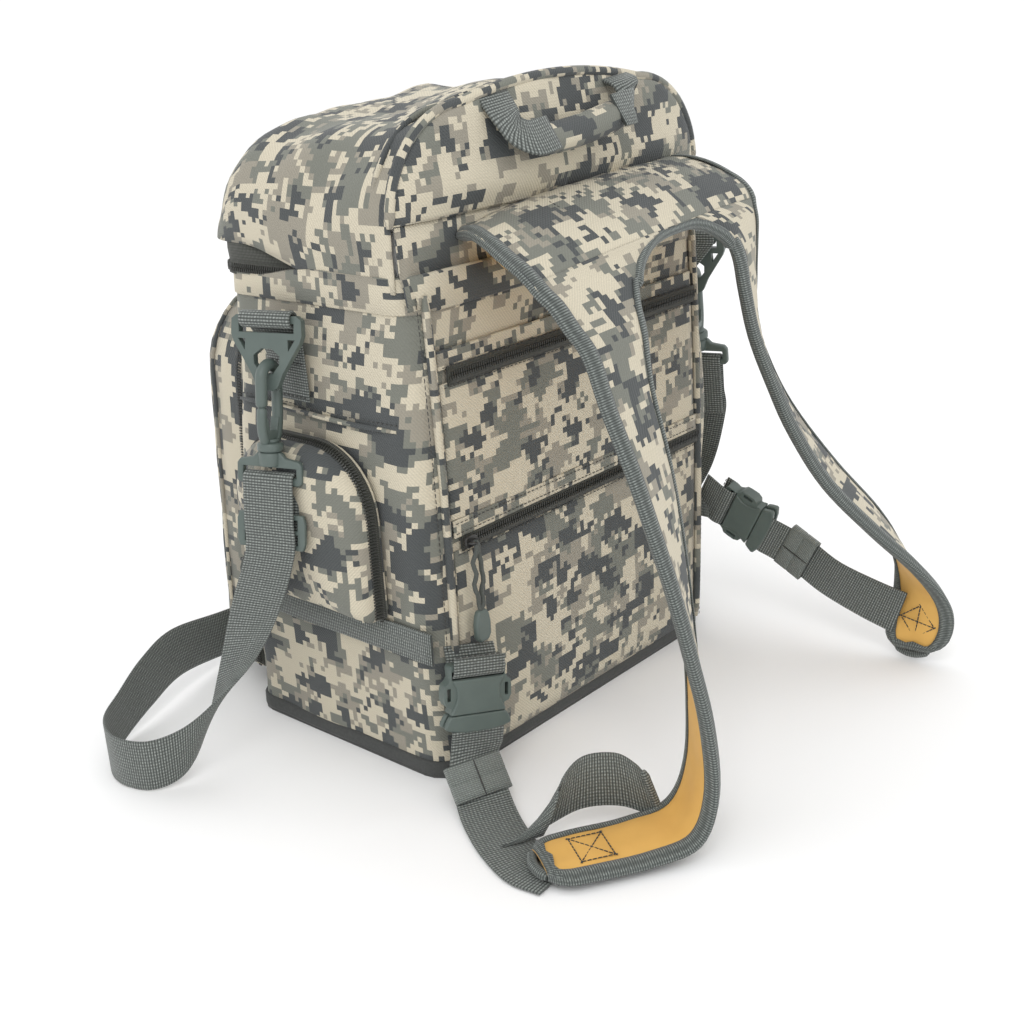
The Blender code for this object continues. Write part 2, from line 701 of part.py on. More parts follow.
STRAP_ROUTE = [
    ((-0.2145, 0.012, 0.125), (0.31, -0.95, 0.0)),
    ((-0.226, 0.026, 0.082), (0.20, -0.80, 0.40)),
    ((-0.243, 0.038, 0.048), (0.05, -0.50, 0.80)),
    ((-0.264, 0.046, 0.027), (0.0, -0.15, 1.0)),
    ((-0.285, 0.060, 0.0200), (0.0, 0.0, 1.0)),
    ((-0.293, 0.088, 0.0195), (0.0, 0.0, 1.0)),
    ((-0.281, 0.116, 0.0195), (0.0, 0.0, 1.0)),
    ((-0.255, 0.136, 0.0215), (0.0, 0.0, 1.0)),
    ((-0.220, 0.152, 0.030), (0.0, 0.15, 1.0)),
    ((-0.180, 0.168, 0.034), (0.0, 0.15, 1.0)),
    ((-0.125, 0.180, 0.026), (0.0, 0.0, 1.0)),
    ((-0.060, 0.186, 0.0195), (0.0, 0.0, 1.0)),
    ((0.060, 0.186, 0.0195), (0.0, 0.0, 1.0)),
    ((0.130, 0.176, 0.0195), (0.0, 0.0, 1.0)),
    ((0.185, 0.146, 0.0195), (0.0, 0.0, 1.0)),
    ((0.215, 0.096, 0.022), (0.0, 0.0, 1.0)),
    ((0.226, 0.040, 0.036), (0.0, 0.30, 1.0)),
    ((0.224, -0.010, 0.068), (0.0, 0.80, 0.60)),
    ((0.218, -0.050, 0.115), (0.10, 1.0, 0.20)),
]


def shoulder_strap(materials):
    """One webbing from hook to hook: down the left side, over the floor round the front, and up."""
    stations = strap_over_base(LEFT_RING, -1)
    stations += [(Vector(p), Vector(s), WEBBING_WIDTH) for p, s in STRAP_ROUTE]
    right = strap_over_base(RIGHT_RING, 1)[::-1]
    stations += [(p, -s, w) for p, s, w in right]
    places = [p for p, s, w in stations]
    sides = [s for p, s, w in stations]
    body = smooth_path(places[10:31], 0.016)
    body_sides = []
    for start in range(10, 30):
        first, second = sides[start].normalized(), sides[start + 1].normalized()
        count = max(1, round((places[start + 1] - places[start]).length / 0.016))
        body_sides += [first.lerp(second, k / count) for k in range(count)]
    route = places[:10] + body + places[31:]
    turns = sides[:10] + body_sides + [sides[30]] + sides[31:]
    add_object("shoulder_strap", strip(route, turns, WEBBING_WIDTH, WEBBING), materials["webbing"])


def triglide(materials):
    """The length adjuster, between the two layers of the strap's left end."""
    place = ring_place(LEFT_RING, -1)
    bar = frame_prism(
        rectangle(-0.0245, 0.0245, -0.151, -0.128),
        rectangle(-0.0205, 0.0205, -0.147, -0.132),
        place,
        -0.0019,
        0.0021,
    )
    add_object("strap_triglide", bar, materials["plastic"])


# Harness: yoke, padded straps, buckles and webbing


def turned(degrees):
    """A level width direction, turned from +X by the strap's twist."""
    return Vector((math.cos(math.radians(degrees)), math.sin(math.radians(degrees)), 0))


YOKE = [
    ((0.008, -0.0968, 0.3660), (1, 0, 0.055), 0.228),
    ((0.008, -0.1200, 0.3665), (1, 0, 0.050), 0.236),
    ((0.008, -0.1460, 0.3600), (1, 0, 0.040), 0.236),
    ((0.008, -0.1640, 0.3460), (1, 0, 0.030), 0.228),
]
LEFT_STRAP = [
    ((-0.064, -0.1725, 0.3360), 0, 0.068),
    ((-0.078, -0.1960, 0.3000), 5, 0.062),
    ((-0.083, -0.2180, 0.2500), 12, 0.058),
    ((-0.085, -0.2360, 0.1980), 20, 0.056),
    ((-0.090, -0.2560, 0.1300), 34, 0.054),
    ((-0.098, -0.2700, 0.0850), 44, 0.052),
    ((-0.106, -0.2770, 0.0420), 52, 0.052),
    ((-0.120, -0.2710, 0.0125), 57, 0.052),
    ((-0.145, -0.2550, 0.0072), 59, 0.052),
    ((-0.175, -0.2360, 0.0070), 59, 0.052),
    ((-0.200, -0.2210, 0.0070), 59, 0.050),
]
RIGHT_STRAP = [
    ((0.082, -0.1745, 0.3395), 0, 0.070),
    ((0.098, -0.1780, 0.3000), 25, 0.062),
    ((0.110, -0.1820, 0.2600), 40, 0.058),
    ((0.128, -0.1960, 0.2050), 32, 0.056),
    ((0.150, -0.2180, 0.1580), 22, 0.054),
    ((0.172, -0.2440, 0.1200), 25, 0.052),
    ((0.188, -0.2640, 0.0880), 45, 0.052),
    ((0.197, -0.2750, 0.0580), 72, 0.050),
    ((0.197, -0.2760, 0.0320), 90, 0.050),
    ((0.193, -0.2720, 0.0080), 96, 0.044),
]


def harness(materials):
    camo = materials["camo"]
    stations = [(Vector(p), Vector(s), w) for p, s, w in YOKE]
    add_object("yoke", smooth_strap(stations, 0.012, STRAP_THICKNESS), camo)
    for name, route in (("left_strap", LEFT_STRAP), ("right_strap", RIGHT_STRAP)):
        stations = [(Vector(p), turned(a), w) for p, a, w in route]
        add_object(name, smooth_strap(stations, 0.014, STRAP_THICKNESS - 0.001), camo)


def buckle_place(origin, width, pull):
    """A frame at a buckle's fixed bar: across it, along the pull, and out of its face."""
    pull = Vector(pull).normalized()
    width = Vector(width)
    width = (width - pull * width.dot(pull)).normalized()
    return axes_place(origin, width, pull, width.cross(pull))


LEFT_BUCKLE = buckle_place((-0.139, -0.1165, 0.088), (1, 0, -0.2), (-0.19, -0.09, -0.98))
RIGHT_BUCKLE = buckle_place((0.1690, -0.1150, 0.1070), (-0.15, -0.46, 0.875), (0.14, -0.87, -0.47))


def buckle(place, name, materials):
    """A side-release buckle: the socket on the bag and the plug on the webbing."""
    plastic = materials["plastic"]
    origin = place.translation
    half = [(0.0215, -0.002), (0.0245, 0.004), (0.0245, 0.030)]
    outline = half + [(-a, b) for a, b in reversed(half)]
    socket = add_object(name + "_buckle_socket", prism(outline, place, -0.0055, 0.0055), plastic, origin)
    cavity = prism(rectangle(-0.0210, 0.0210, 0.0125, 0.04), place, -0.0033, 0.0033)
    boolean(socket, add_object(name + "_socket_cavity", cavity, plastic, origin), "DIFFERENCE")
    slot = prism(rectangle(-0.0200, 0.0200, 0.0014, 0.0090), place, -0.01, 0.01)
    boolean(socket, add_object(name + "_socket_slot", slot, plastic, origin), "DIFFERENCE")
    windows = prism(rectangle(-0.03, 0.03, 0.0150, 0.0230), place, -0.0030, 0.0030)
    boolean(socket, add_object(name + "_socket_windows", windows, plastic, origin), "DIFFERENCE")
    half = [(0.0030, 0.0140), (0.0060, 0.0240), (0.0110, 0.0240), (0.0125, 0.0155)]
    half += [(0.0185, 0.0160), (0.0200, 0.0230), (0.0175, 0.0308), (0.0235, 0.0308), (0.0225, 0.0440)]
    outline = half + [(-a, b) for a, b in reversed(half)]
    plug = add_object(name + "_buckle_plug", prism(outline, place, -0.0029, 0.0029), plastic, origin)
    slot = prism(rectangle(-0.0195, 0.0195, 0.0345, 0.0395), place, -0.01, 0.01)
    boolean(plug, add_object(name + "_plug_slot", slot, plastic, origin), "DIFFERENCE")


def buckle_tab(place, name, foot, inner, materials):
    """The webbing loop that holds a buckle's socket, doubled round its bar and sewn at its foot."""
    across = place.to_3x3() @ Vector((1, 0, 0))
    loop = [(-0.005, 0.0068), (0.0014, 0.0068), (0.0050, 0.0046), (0.0060, 0.0)]
    loop += [(0.0050, -0.0046), (0.0014, -0.0068), (-0.007, -0.0068)]
    route = [Vector(foot)] + [place @ Vector((0, v, n * inner)) for v, n in loop]
    tab = strip(route, [across] * len(route), WEBBING_WIDTH, 0.0015)
    add_object(name + "_buckle_tab", tab, materials["webbing"])


def harness_webbing(materials):
    webbing = materials["webbing"]
    start = LEFT_BUCKLE @ Vector((0, 0.0470, 0))
    across = LEFT_BUCKLE.to_3x3() @ Vector((1, 0, 0))
    left = [
        (start, across, WEBBING_WIDTH),
        (Vector((-0.1545, -0.1260, 0.022)), Vector((0.98, -0.25, 0)), WEBBING_WIDTH),
        (Vector((-0.162, -0.140, 0.006)), Vector((0.90, -0.40, 0)), WEBBING_WIDTH),
        (Vector((-0.176, -0.163, 0.0018)), Vector((0.85, -0.50, 0)), WEBBING_WIDTH),
        (Vector((-0.192, -0.190, 0.0018)), Vector((0.88, -0.40, 0)), WEBBING_WIDTH),
        (Vector((-0.201, -0.216, 0.0018)), Vector((0.98, -0.10, 0)), WEBBING_WIDTH),
        (Vector((-0.199, -0.236, 0.0018)), Vector((1.0, 0.10, 0)), WEBBING_WIDTH),
    ]
    add_object("left_harness_webbing", smooth_strap(left, 0.010, WEBBING), webbing)
    start = RIGHT_BUCKLE @ Vector((0, 0.0448, 0))
    across = RIGHT_BUCKLE.to_3x3() @ Vector((1, 0, 0))
    right = [
        (start, across, WEBBING_WIDTH),
        (Vector((0.1790, -0.196, 0.064)), across, WEBBING_WIDTH),
        (Vector((0.1850, -0.232, 0.047)), across, WEBBING_WIDTH),
        (Vector((0.1875, -0.262, 0.038)), Vector((0, -0.3, 0.95)), WEBBING_WIDTH),
    ]
    add_object("right_harness_webbing", smooth_strap(right, 0.010, WEBBING), webbing)


def main():
    clear_scene()
    materials = make_materials()
    outer_shell(materials)
    base_panel(materials)
    insulation(materials)
    liner(materials)
    lid_zip(materials)
    lid(materials)
    hinge_strip(materials)
    lid_handle(materials)
    back_pockets(materials)
    side_pockets(materials)
    front_pocket(materials)
    sliders(materials)
    for origin, side, sewn_y, name in ((LEFT_RING, -1, 0.012, "left"), (RIGHT_RING, 1, -0.066, "right")):
        hardware(origin, side, name, materials)
        ring_tab(origin, side, sewn_y, name, materials)
    shoulder_strap(materials)
    triglide(materials)
    harness(materials)
    left_foot = (-0.134, -0.1085, 0.0995)
    right_foot = (0.1625, -0.0965, 0.116)
    buckles = (("left", LEFT_BUCKLE, left_foot, 1), ("right", RIGHT_BUCKLE, right_foot, -1))
    for name, place, foot, inner in buckles:
        buckle(place, name, materials)
        buckle_tab(place, name, foot, inner, materials)
    harness_webbing(materials)


main()
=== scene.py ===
import math

import bmesh
import bpy
from mathutils import Matrix, Vector, noise


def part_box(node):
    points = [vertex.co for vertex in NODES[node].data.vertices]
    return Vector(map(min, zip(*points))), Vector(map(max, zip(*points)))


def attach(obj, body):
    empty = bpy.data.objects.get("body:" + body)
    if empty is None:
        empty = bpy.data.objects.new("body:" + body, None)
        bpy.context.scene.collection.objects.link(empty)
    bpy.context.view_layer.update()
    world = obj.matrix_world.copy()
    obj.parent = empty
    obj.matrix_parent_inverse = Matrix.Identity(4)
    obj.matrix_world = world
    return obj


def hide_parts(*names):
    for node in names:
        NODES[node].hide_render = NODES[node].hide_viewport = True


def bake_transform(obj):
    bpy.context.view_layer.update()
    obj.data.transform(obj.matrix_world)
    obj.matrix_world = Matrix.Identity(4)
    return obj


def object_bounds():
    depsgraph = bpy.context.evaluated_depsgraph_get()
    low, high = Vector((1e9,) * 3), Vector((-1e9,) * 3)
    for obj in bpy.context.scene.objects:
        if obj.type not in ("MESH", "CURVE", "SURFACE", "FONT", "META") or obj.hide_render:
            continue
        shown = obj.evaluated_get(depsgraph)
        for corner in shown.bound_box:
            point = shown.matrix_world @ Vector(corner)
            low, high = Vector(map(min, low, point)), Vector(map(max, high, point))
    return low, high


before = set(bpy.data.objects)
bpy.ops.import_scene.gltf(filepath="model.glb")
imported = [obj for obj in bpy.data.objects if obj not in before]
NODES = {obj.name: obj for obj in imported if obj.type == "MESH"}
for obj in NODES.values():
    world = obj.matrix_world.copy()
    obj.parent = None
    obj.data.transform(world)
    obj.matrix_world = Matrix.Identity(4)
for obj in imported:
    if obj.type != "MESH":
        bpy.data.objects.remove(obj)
CAD_LOW, CAD_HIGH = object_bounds()

# Where the camera stands, as found from the photograph's perspective
CAMERA_AT = Vector((-0.748, -0.712, 0.515))
CAMERA_TARGET = Vector((0.0023, -0.0317, 0.1346))
CAMERA_ROLL = math.radians(-3.4)
LENS_MM = 49.8

# Sizes that follow the CAD
BASE_LOW, BASE_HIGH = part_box("outer_shell")
HALF_WIDTH = (BASE_HIGH[0] - BASE_LOW[0]) / 2
RIM_Z = BASE_HIGH[2]
BACK_Y = 0.105
FRONT_Y_BASE = 0.106
FRONT_Y_RIM = 0.078
CORNER_RADIUS = 0.020
BARREL = 0.004
TOP_Z = CAD_HIGH[2]
PARTING_Z = 0.3488
HINGE_Z = 0.3795
WEBBING_WIDTH = 0.038
WEBBING = 0.0016
PIXEL = 0.0041


# Node-based materials


def new_material(name, roughness=0.8, sheen=0.0):
    material = bpy.data.materials.new(name)
    material.use_nodes = True
    shader = material.node_tree.nodes["Principled BSDF"]
    shader.inputs["Roughness"].default_value = roughness
    shader.inputs["Sheen Weight"].default_value = sheen
    return material, material.node_tree, shader


def node(tree, kind, **inputs):
    made = tree.nodes.new(kind)
    for key, value in inputs.items():
        made.inputs[key.replace("_", " ")].default_value = value
    return made


def maths(tree, operation, first, second=None):
    made = tree.nodes.new("ShaderNodeMath")
    made.operation = operation
    for slot, value in enumerate((first, second)):
        if value is None:
            continue
        if isinstance(value, (int, float)):
            made.inputs[slot].default_value = value
        else:
            tree.links.new(value, made.inputs[slot])
    return made.outputs[0]


def vector_maths(tree, operation, first, second):
    made = tree.nodes.new("ShaderNodeVectorMath")
    made.operation = operation
    tree.links.new(first, made.inputs[0])
    made.inputs[1].default_value = second
    return made.outputs[0]


def mixed(tree, factor, first, second):
    made = tree.nodes.new("ShaderNodeMix")
    made.data_type = "RGBA"
    tree.links.new(factor, made.inputs["Factor"])
    for slot, value in (("A", first), ("B", second)):
        socket = [s for s in made.inputs if s.name == slot and s.type == "RGBA"][0]
        if isinstance(value, tuple):
            socket.default_value = (*value, 1.0)
        else:
            tree.links.new(value, socket)
    return [s for s in made.outputs if s.type == "RGBA"][0]


def bumped(tree, shader, height, strength, distance):
    bump = node(tree, "ShaderNodeBump", Strength=strength, Distance=distance)
    tree.links.new(height, bump.inputs["Height"])
    tree.links.new(bump.outputs["Normal"], shader.inputs["Normal"])


def fabric_coordinates(tree):
    """The piece's own flat coordinates, in metres along and across the cloth."""
    return tree.nodes.new("ShaderNodeUVMap").outputs["UV"]


def wave(tree, where, scale, direction):
    made = tree.nodes.new("ShaderNodeTexWave")
    made.bands_direction = direction
    made.inputs["Scale"].default_value = scale
    made.inputs["Distortion"].default_value = 0.0
    tree.links.new(where, made.inputs["Vector"])
    return made.outputs["Fac"]


SAND = (0.67, 0.605, 0.465)
STONE = (0.33, 0.30, 0.24)
MOSS = (0.185, 0.190, 0.160)
SLATE = (0.046, 0.053, 0.058)


def camo_material():
    """Woven cloth printed with a pattern of small squares in four colours."""
    material, tree, shader = new_material("printed_camouflage", 0.82, 0.12)
    flat = fabric_coordinates(tree)
    snapped = vector_maths(tree, "SNAP", flat, (PIXEL, PIXEL, PIXEL))
    stretched = vector_maths(tree, "MULTIPLY", snapped, (0.85, 1.0, 1.0))
    colour = None
    layers = ((STONE, 3.1, 32, 0.51), (MOSS, 11.7, 36, 0.54), (SAND, 23.3, 46, 0.575), (SLATE, 37.9, 40, 0.555))
    for paint, offset, scale, level in layers:
        moved = vector_maths(tree, "ADD", stretched, (offset, offset * 0.7, offset * 1.3))
        blot = node(tree, "ShaderNodeTexNoise", Scale=scale, Detail=2.0, Roughness=0.62)
        tree.links.new(moved, blot.inputs["Vector"])
        speck = tree.nodes.new("ShaderNodeTexWhiteNoise")
        tree.links.new(moved, speck.inputs["Vector"])
        jitter = maths(tree, "MULTIPLY", maths(tree, "SUBTRACT", speck.outputs["Value"], 0.5), 0.075)
        chosen = maths(tree, "GREATER_THAN", maths(tree, "ADD", blot.outputs["Fac"], jitter), level)
        colour = mixed(tree, chosen, colour or SAND, paint)
    twill = wave(tree, flat, 250, "DIAGONAL")
    weave_across = wave(tree, flat, 165, "Y")
    shallow = maths(tree, "ADD", maths(tree, "MULTIPLY", weave_across, 0.5), 0.5)
    weave = maths(tree, "MULTIPLY", twill, shallow)
    thread = node(tree, "ShaderNodeTexNoise", Scale=900, Detail=1.0)
    tree.links.new(flat, thread.inputs["Vector"])
    half_weave, half_thread = (maths(tree, "MULTIPLY", v, 0.5) for v in (weave, thread.outputs["Fac"]))
    shade = maths(tree, "ADD", half_weave, half_thread)
    dim = maths(tree, "MULTIPLY", maths(tree, "SUBTRACT", 1.0, shade), 0.36)
    colour = mixed(tree, dim, colour, (0.12, 0.125, 0.11))
    tree.links.new(colour, shader.inputs["Base Color"])
    bumped(tree, shader, weave, 0.5, 0.0006)
    return material


def woven_material(name, colour, light, rib, roughness=0.7, strength=0.6, spread=1.5):
    """Ribbed webbing or tape: cross ribs, and a lighter colour on the rib crests, broken into flecks by noise: partly
    lighter thread flecks, partly a painted highlight on the raised ribs.
    """
    material, tree, shader = new_material(name, roughness, 0.15)
    flat = fabric_coordinates(tree)
    ribs = wave(tree, flat, 0.314 / rib, "X")
    cords = wave(tree, flat, 0.314 / (rib * spread), "Y")
    height = maths(tree, "MULTIPLY", ribs, maths(tree, "ADD", maths(tree, "MULTIPLY", cords, 0.6), 0.4))
    fleck = node(tree, "ShaderNodeTexNoise", Scale=700, Detail=1.0)
    tree.links.new(flat, fleck.inputs["Vector"])
    # Painted highlight: the lighter colour is weighted by rib height, so it lands on the raised rib crests, broken
    # into flecks by noise. It is partly lighter thread flecks and partly painted highlight.
    crest_highlight_and_fleck = maths(tree, "MULTIPLY", maths(tree, "MULTIPLY", fleck.outputs["Fac"], height), 1.5)
    tree.links.new(mixed(tree, crest_highlight_and_fleck, colour, light), shader.inputs["Base Color"])
    bumped(tree, shader, height, strength, 0.0007)
    return material


def cloth_material(name, colour, second, roughness=0.85, scale=600):
    material, tree, shader = new_material(name, roughness, 0.1)
    where = tree.nodes.new("ShaderNodeTexCoord").outputs["Object"]
    grain = node(tree, "ShaderNodeTexNoise", Scale=scale, Detail=2.0)
    tree.links.new(where, grain.inputs["Vector"])
    tree.links.new(mixed(tree, grain.outputs["Fac"], colour, second), shader.inputs["Base Color"])
    bumped(tree, shader, grain.outputs["Fac"], 0.3, 0.0004)
    return material


def plastic_material(name, colour, second, roughness=0.42):
    material, tree, shader = new_material(name, roughness)
    where = tree.nodes.new("ShaderNodeTexCoord").outputs["Object"]
    cloud = node(tree, "ShaderNodeTexNoise", Scale=90, Detail=3.0)
    tree.links.new(where, cloud.inputs["Vector"])
    tree.links.new(mixed(tree, cloud.outputs["Fac"], colour, second), shader.inputs["Base Color"])
    grain = node(tree, "ShaderNodeTexNoise", Scale=1500, Detail=1.0)
    tree.links.new(where, grain.inputs["Vector"])
    bumped(tree, shader, grain.outputs["Fac"], 0.12, 0.0002)
    return material


CAMO = camo_material()
# The third colour of each woven material below is its lighter crest colour: a painted highlight on the raised ribs,
# mixed with lighter thread flecks.
WEB = woven_material("grey_webbing", (0.034, 0.041, 0.037), (0.38, 0.41, 0.385), 0.0019, spread=1.25)
BINDING = woven_material("ribbed_binding", (0.038, 0.045, 0.042), (0.30, 0.33, 0.31), 0.0016, 0.8, 0.4, spread=2.2)
ELASTIC = woven_material("keeper_elastic", (0.12, 0.135, 0.125), (0.33, 0.36, 0.33), 0.0013, 0.75)
TAPE = woven_material("zip_tape", (0.026, 0.028, 0.022), (0.080, 0.083, 0.066), 0.0013, 0.8)
TEETH = plastic_material("zip_teeth", (0.020, 0.021, 0.018), (0.045, 0.046, 0.040), 0.38)
PLASTIC = plastic_material("grey_green_plastic", (0.082, 0.108, 0.098), (0.110, 0.140, 0.127))
DARK_METAL = plastic_material("coated_slider", (0.018, 0.018, 0.017), (0.04, 0.04, 0.038), 0.3)
TAN = cloth_material("tan_backing", (0.66, 0.37, 0.085), (0.78, 0.46, 0.12), 0.7, 60)
THREAD = cloth_material("dark_thread", (0.03, 0.03, 0.028), (0.07, 0.07, 0.065))
CORD = cloth_material("braided_cord", (0.035, 0.042, 0.038), (0.11, 0.12, 0.11), 0.8, 1400)
LINING = cloth_material("white_lining", (0.62, 0.63, 0.62), (0.72, 0.73, 0.72), 0.35, 40)
FOAM = cloth_material("foam_sheet", (0.66, 0.66, 0.62), (0.76, 0.76, 0.72), 0.9, 900)
BASE_CLOTH = cloth_material("base_cloth", (0.035, 0.037, 0.036), (0.07, 0.073, 0.07))


# Mesh helpers


def make_piece(name, verts, faces, uvs, material, body="root", replaced=(), smooth=True):
    """A mesh object from points in metres. uvs has one entry for each point, or for each face corner."""
    mesh = bpy.data.meshes.new(name)
    mesh.from_pydata([tuple(v) for v in verts], [], faces)
    layer = mesh.uv_layers.new(name="UVMap")
    if uvs:
        if len(uvs) == len(mesh.loops) and len(uvs) != len(verts):
            for loop, uv in zip(layer.data, uvs):
                loop.uv = uv
        else:
            for loop in mesh.loops:
                layer.data[loop.index].uv = uvs[loop.vertex_index]
    mesh.materials.append(material)
    made = bpy.data.objects.new(name, mesh)
    bpy.context.scene.collection.objects.link(made)
    if smooth:
        mesh.shade_smooth()
    if body:
        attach(made, body)
    if replaced:
        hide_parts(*replaced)
    return made


def sheet_of(name, rows, uv_rows, material, thickness, body="root", replaced=()):
    """A sheet over a grid of points, given thickness on its far side. rows run across, then along."""
    count = len(rows[0])
    verts = [p for row in rows for p in row]
    uvs = [uv for row in uv_rows for uv in row]
    faces = []
    for j in range(len(rows) - 1):
        for i in range(count - 1):
            a = j * count + i
            faces.append((a, a + 1, a + count + 1, a + count))
    made = make_piece(name, verts, faces, uvs, material, body, replaced)
    solid = made.modifiers.new("Solid", "SOLIDIFY")
    solid.thickness = thickness
    solid.offset = -1.0
    return made


def crinkle(p, size, seed=0.0):
    """Smooth noise from -1 to 1 whose bumps are about size metres across."""
    return noise.noise(p / size + Vector((seed, seed * 1.7, seed * 0.6)))


def spline(points, pieces):
    """A smooth curve through points. pieces(start, end) says how many steps join two of them."""
    route = [Vector(p) for p in points]
    ends = [2 * route[0] - route[1]] + route + [2 * route[-1] - route[-2]]
    found = [route[0].copy()]
    for before, start, end, after in zip(ends, ends[1:], ends[2:], ends[3:]):
        count = pieces(start, end)
        for k in range(1, count + 1):
            t = k / count
            cubic = 2 * start + (end - before) * t
            cubic += (2 * before - 5 * start + 4 * end - after) * t * t
            cubic += (3 * start - before - 3 * end + after) * t * t * t
            found.append(0.5 * cubic)
    return found


def catmull(points, step):
    """A smooth curve through points, in steps of about step metres."""
    return spline(points, lambda start, end: max(1, round((end - start).length / step)))


def paired(first, second, pieces):
    """Two edge curves with the same number of points between each pair of given ones."""
    return spline(first, lambda start, end: pieces), spline(second, lambda start, end: pieces)


def tube(name, points, radius, material, body="root", replaced=(), sides=8, flat=1.0):
    """A round or flattened bead along points, with domed ends and flat coordinates along it."""
    verts, uvs, faces = [], [], []
    across = None
    run = 0.0
    last = len(points) - 1
    for i, point in enumerate(points):
        ahead = (points[min(i + 1, last)] - points[max(i - 1, 0)]).normalized()
        if across is None:
            across = ahead.orthogonal().normalized()
        across = (across - ahead * across.dot(ahead)).normalized()
        other = ahead.cross(across)
        if i:
            run += (point - points[i - 1]).length
        size = radius * (0.55 if i in (0, last) else 1.0)
        for k in range(sides):
            turn = 2 * math.pi * k / sides
            verts.append(point + across * size * math.cos(turn) + other * size * flat * math.sin(turn))
            uvs.append((run, radius * turn))
    for i in range(last):
        for k in range(sides):
            a, b = i * sides + k, i * sides + (k + 1) % sides
            faces.append((a, b, b + sides, a + sides))
    faces.append(tuple(range(sides))[::-1])
    faces.append(tuple(last * sides + k for k in range(sides)))
    return make_piece(name, verts, faces, uvs, material, body, replaced)


def ribbon(name, left, right, section, material, body="root", replaced=()):
    """A closed strip between two edge curves.

    section lists (place across from 0 to 1, height) round the strip: out over its face and back under.
    """
    verts, uvs, faces = [], [], []
    run = 0.0
    last = len(left) - 1
    count = len(section)
    for i, (a, b) in enumerate(zip(left, right)):
        middle = (a + b) / 2
        after, before = min(i + 1, last), max(i - 1, 0)
        ahead = left[after] + right[after] - left[before] - right[before]
        across = b - a
        normal = ahead.cross(across).normalized()
        if i:
            run += (middle - (left[i - 1] + right[i - 1]) / 2).length
        for share, height in section:
            verts.append(a + across * share + normal * height)
            uvs.append((run, across.length * share + (0.0 if height >= 0 else 0.3)))
    for i in range(last):
        for k in range(count):
            a, b = i * count + k, i * count + (k + 1) % count
            faces.append((a, b, b + count, a + count))
    faces.append(tuple(range(count))[::-1])
    faces.append(tuple(last * count + k for k in range(count)))
    return make_piece(name, verts, faces, uvs, material, body, replaced)


def flat_section(thickness):
    """A webbing's cross-section for ribbon, with its edges rounded off."""
    half, edge = thickness / 2, 0.02
    return [(0, half * 0.5), (edge, half), (0.5, half), (1 - edge, half), (1, half * 0.5),
            (1, -half * 0.5), (1 - edge, -half), (0.5, -half), (edge, -half), (0, -half * 0.5)]


def edges_of(stations, step):
    """Edge curves of a strap given as (middle, width direction, width)."""
    left = [Vector(p) - Vector(s).normalized() * w / 2 for p, s, w in stations]
    right = [Vector(p) + Vector(s).normalized() * w / 2 for p, s, w in stations]
    longest = max((Vector(b[0]) - Vector(a[0])).length for a, b in zip(stations, stations[1:]))
    pieces = max(2, round(longest / step))
    return paired(left, right, pieces)


def webbing_strap(name, stations, body, replaced, step):
    left, right = edges_of(stations, step)
    return ribbon(name, left, right, flat_section(WEBBING), WEB, body, replaced)


def give(cad_node, material):
    """A CAD piece whose shape is right keeps its mesh and takes a better material."""
    slots = NODES[cad_node].material_slots
    for held in slots:
        held.material = material
    if not slots:
        NODES[cad_node].data.materials.append(material)


# The body's soft wall


HEM_RISE = 0.0085
WALL_STEP = 0.009


def smooth(share):
    """0 below 0, 1 above 1, and an even turn between them."""
    share = max(0.0, min(1.0, share))
    return share * share * (3 - 2 * share)


def barrel(z):
    return BARREL * (2 * z / RIM_Z - 1) ** 2


def front_y(z):
    return FRONT_Y_BASE + (FRONT_Y_RIM - FRONT_Y_BASE) * z / RIM_Z


def wall_ring(z, inset=0.0, soft=1.0):
    """(points, perimeter places) of the body's outline at z, starting in the middle of the front."""
    pull = inset + barrel(z)
    x, low, high = HALF_WIDTH - pull, -BACK_Y + pull, front_y(z) - pull
    radius = CORNER_RADIUS - inset
    corners = [(-1, high, 90), (-1, low, 180), (1, low, 270), (1, high, 0)]
    points, run = [Vector((0, high, z))], [0.0]

    def reach(target, count):
        start = points[-1].copy()
        for k in range(1, count + 1):
            p = start.lerp(target, k / count)
            run.append(run[-1] + (p - points[-1]).length)
            points.append(p)

    counts = [round(straight / WALL_STEP) for straight in (0.142, 0.16, 0.284, 0.16)]
    for (side, y, start), count in zip(corners, counts):
        centre = Vector((side * (x - radius), y - radius if y > 0 else y + radius, z))
        for k in range(7):
            turn = math.radians(start + 15 * k)
            p = centre + Vector((radius * math.cos(turn), radius * math.sin(turn), 0))
            if k == 0:
                reach(p, count)
            else:
                run.append(run[-1] + (p - points[-1]).length)
                points.append(p)
    reach(Vector((0, high, z)), counts[0])
    middle = Vector((0, (low + high) / 2, z))
    for i, p in enumerate(points):
        out = (p - middle).normalized()
        wide = crinkle(p, 0.075) * 0.0022 + crinkle(p, 0.028, 5.0) * 0.0009
        if abs(p.x) < HALF_WIDTH * 0.86 and p.y < 0:
            wide *= 0.45
        puff = math.exp(-((p.y + 0.088) / 0.022) ** 2 - ((z - 0.20) / 0.055) ** 2)
        wide += puff * (0.009 if p.x > 0.15 else 0.003 * (p.x < -0.15))
        points[i] = p + out * (wide * soft - 0.0010 * soft)
    return points, run


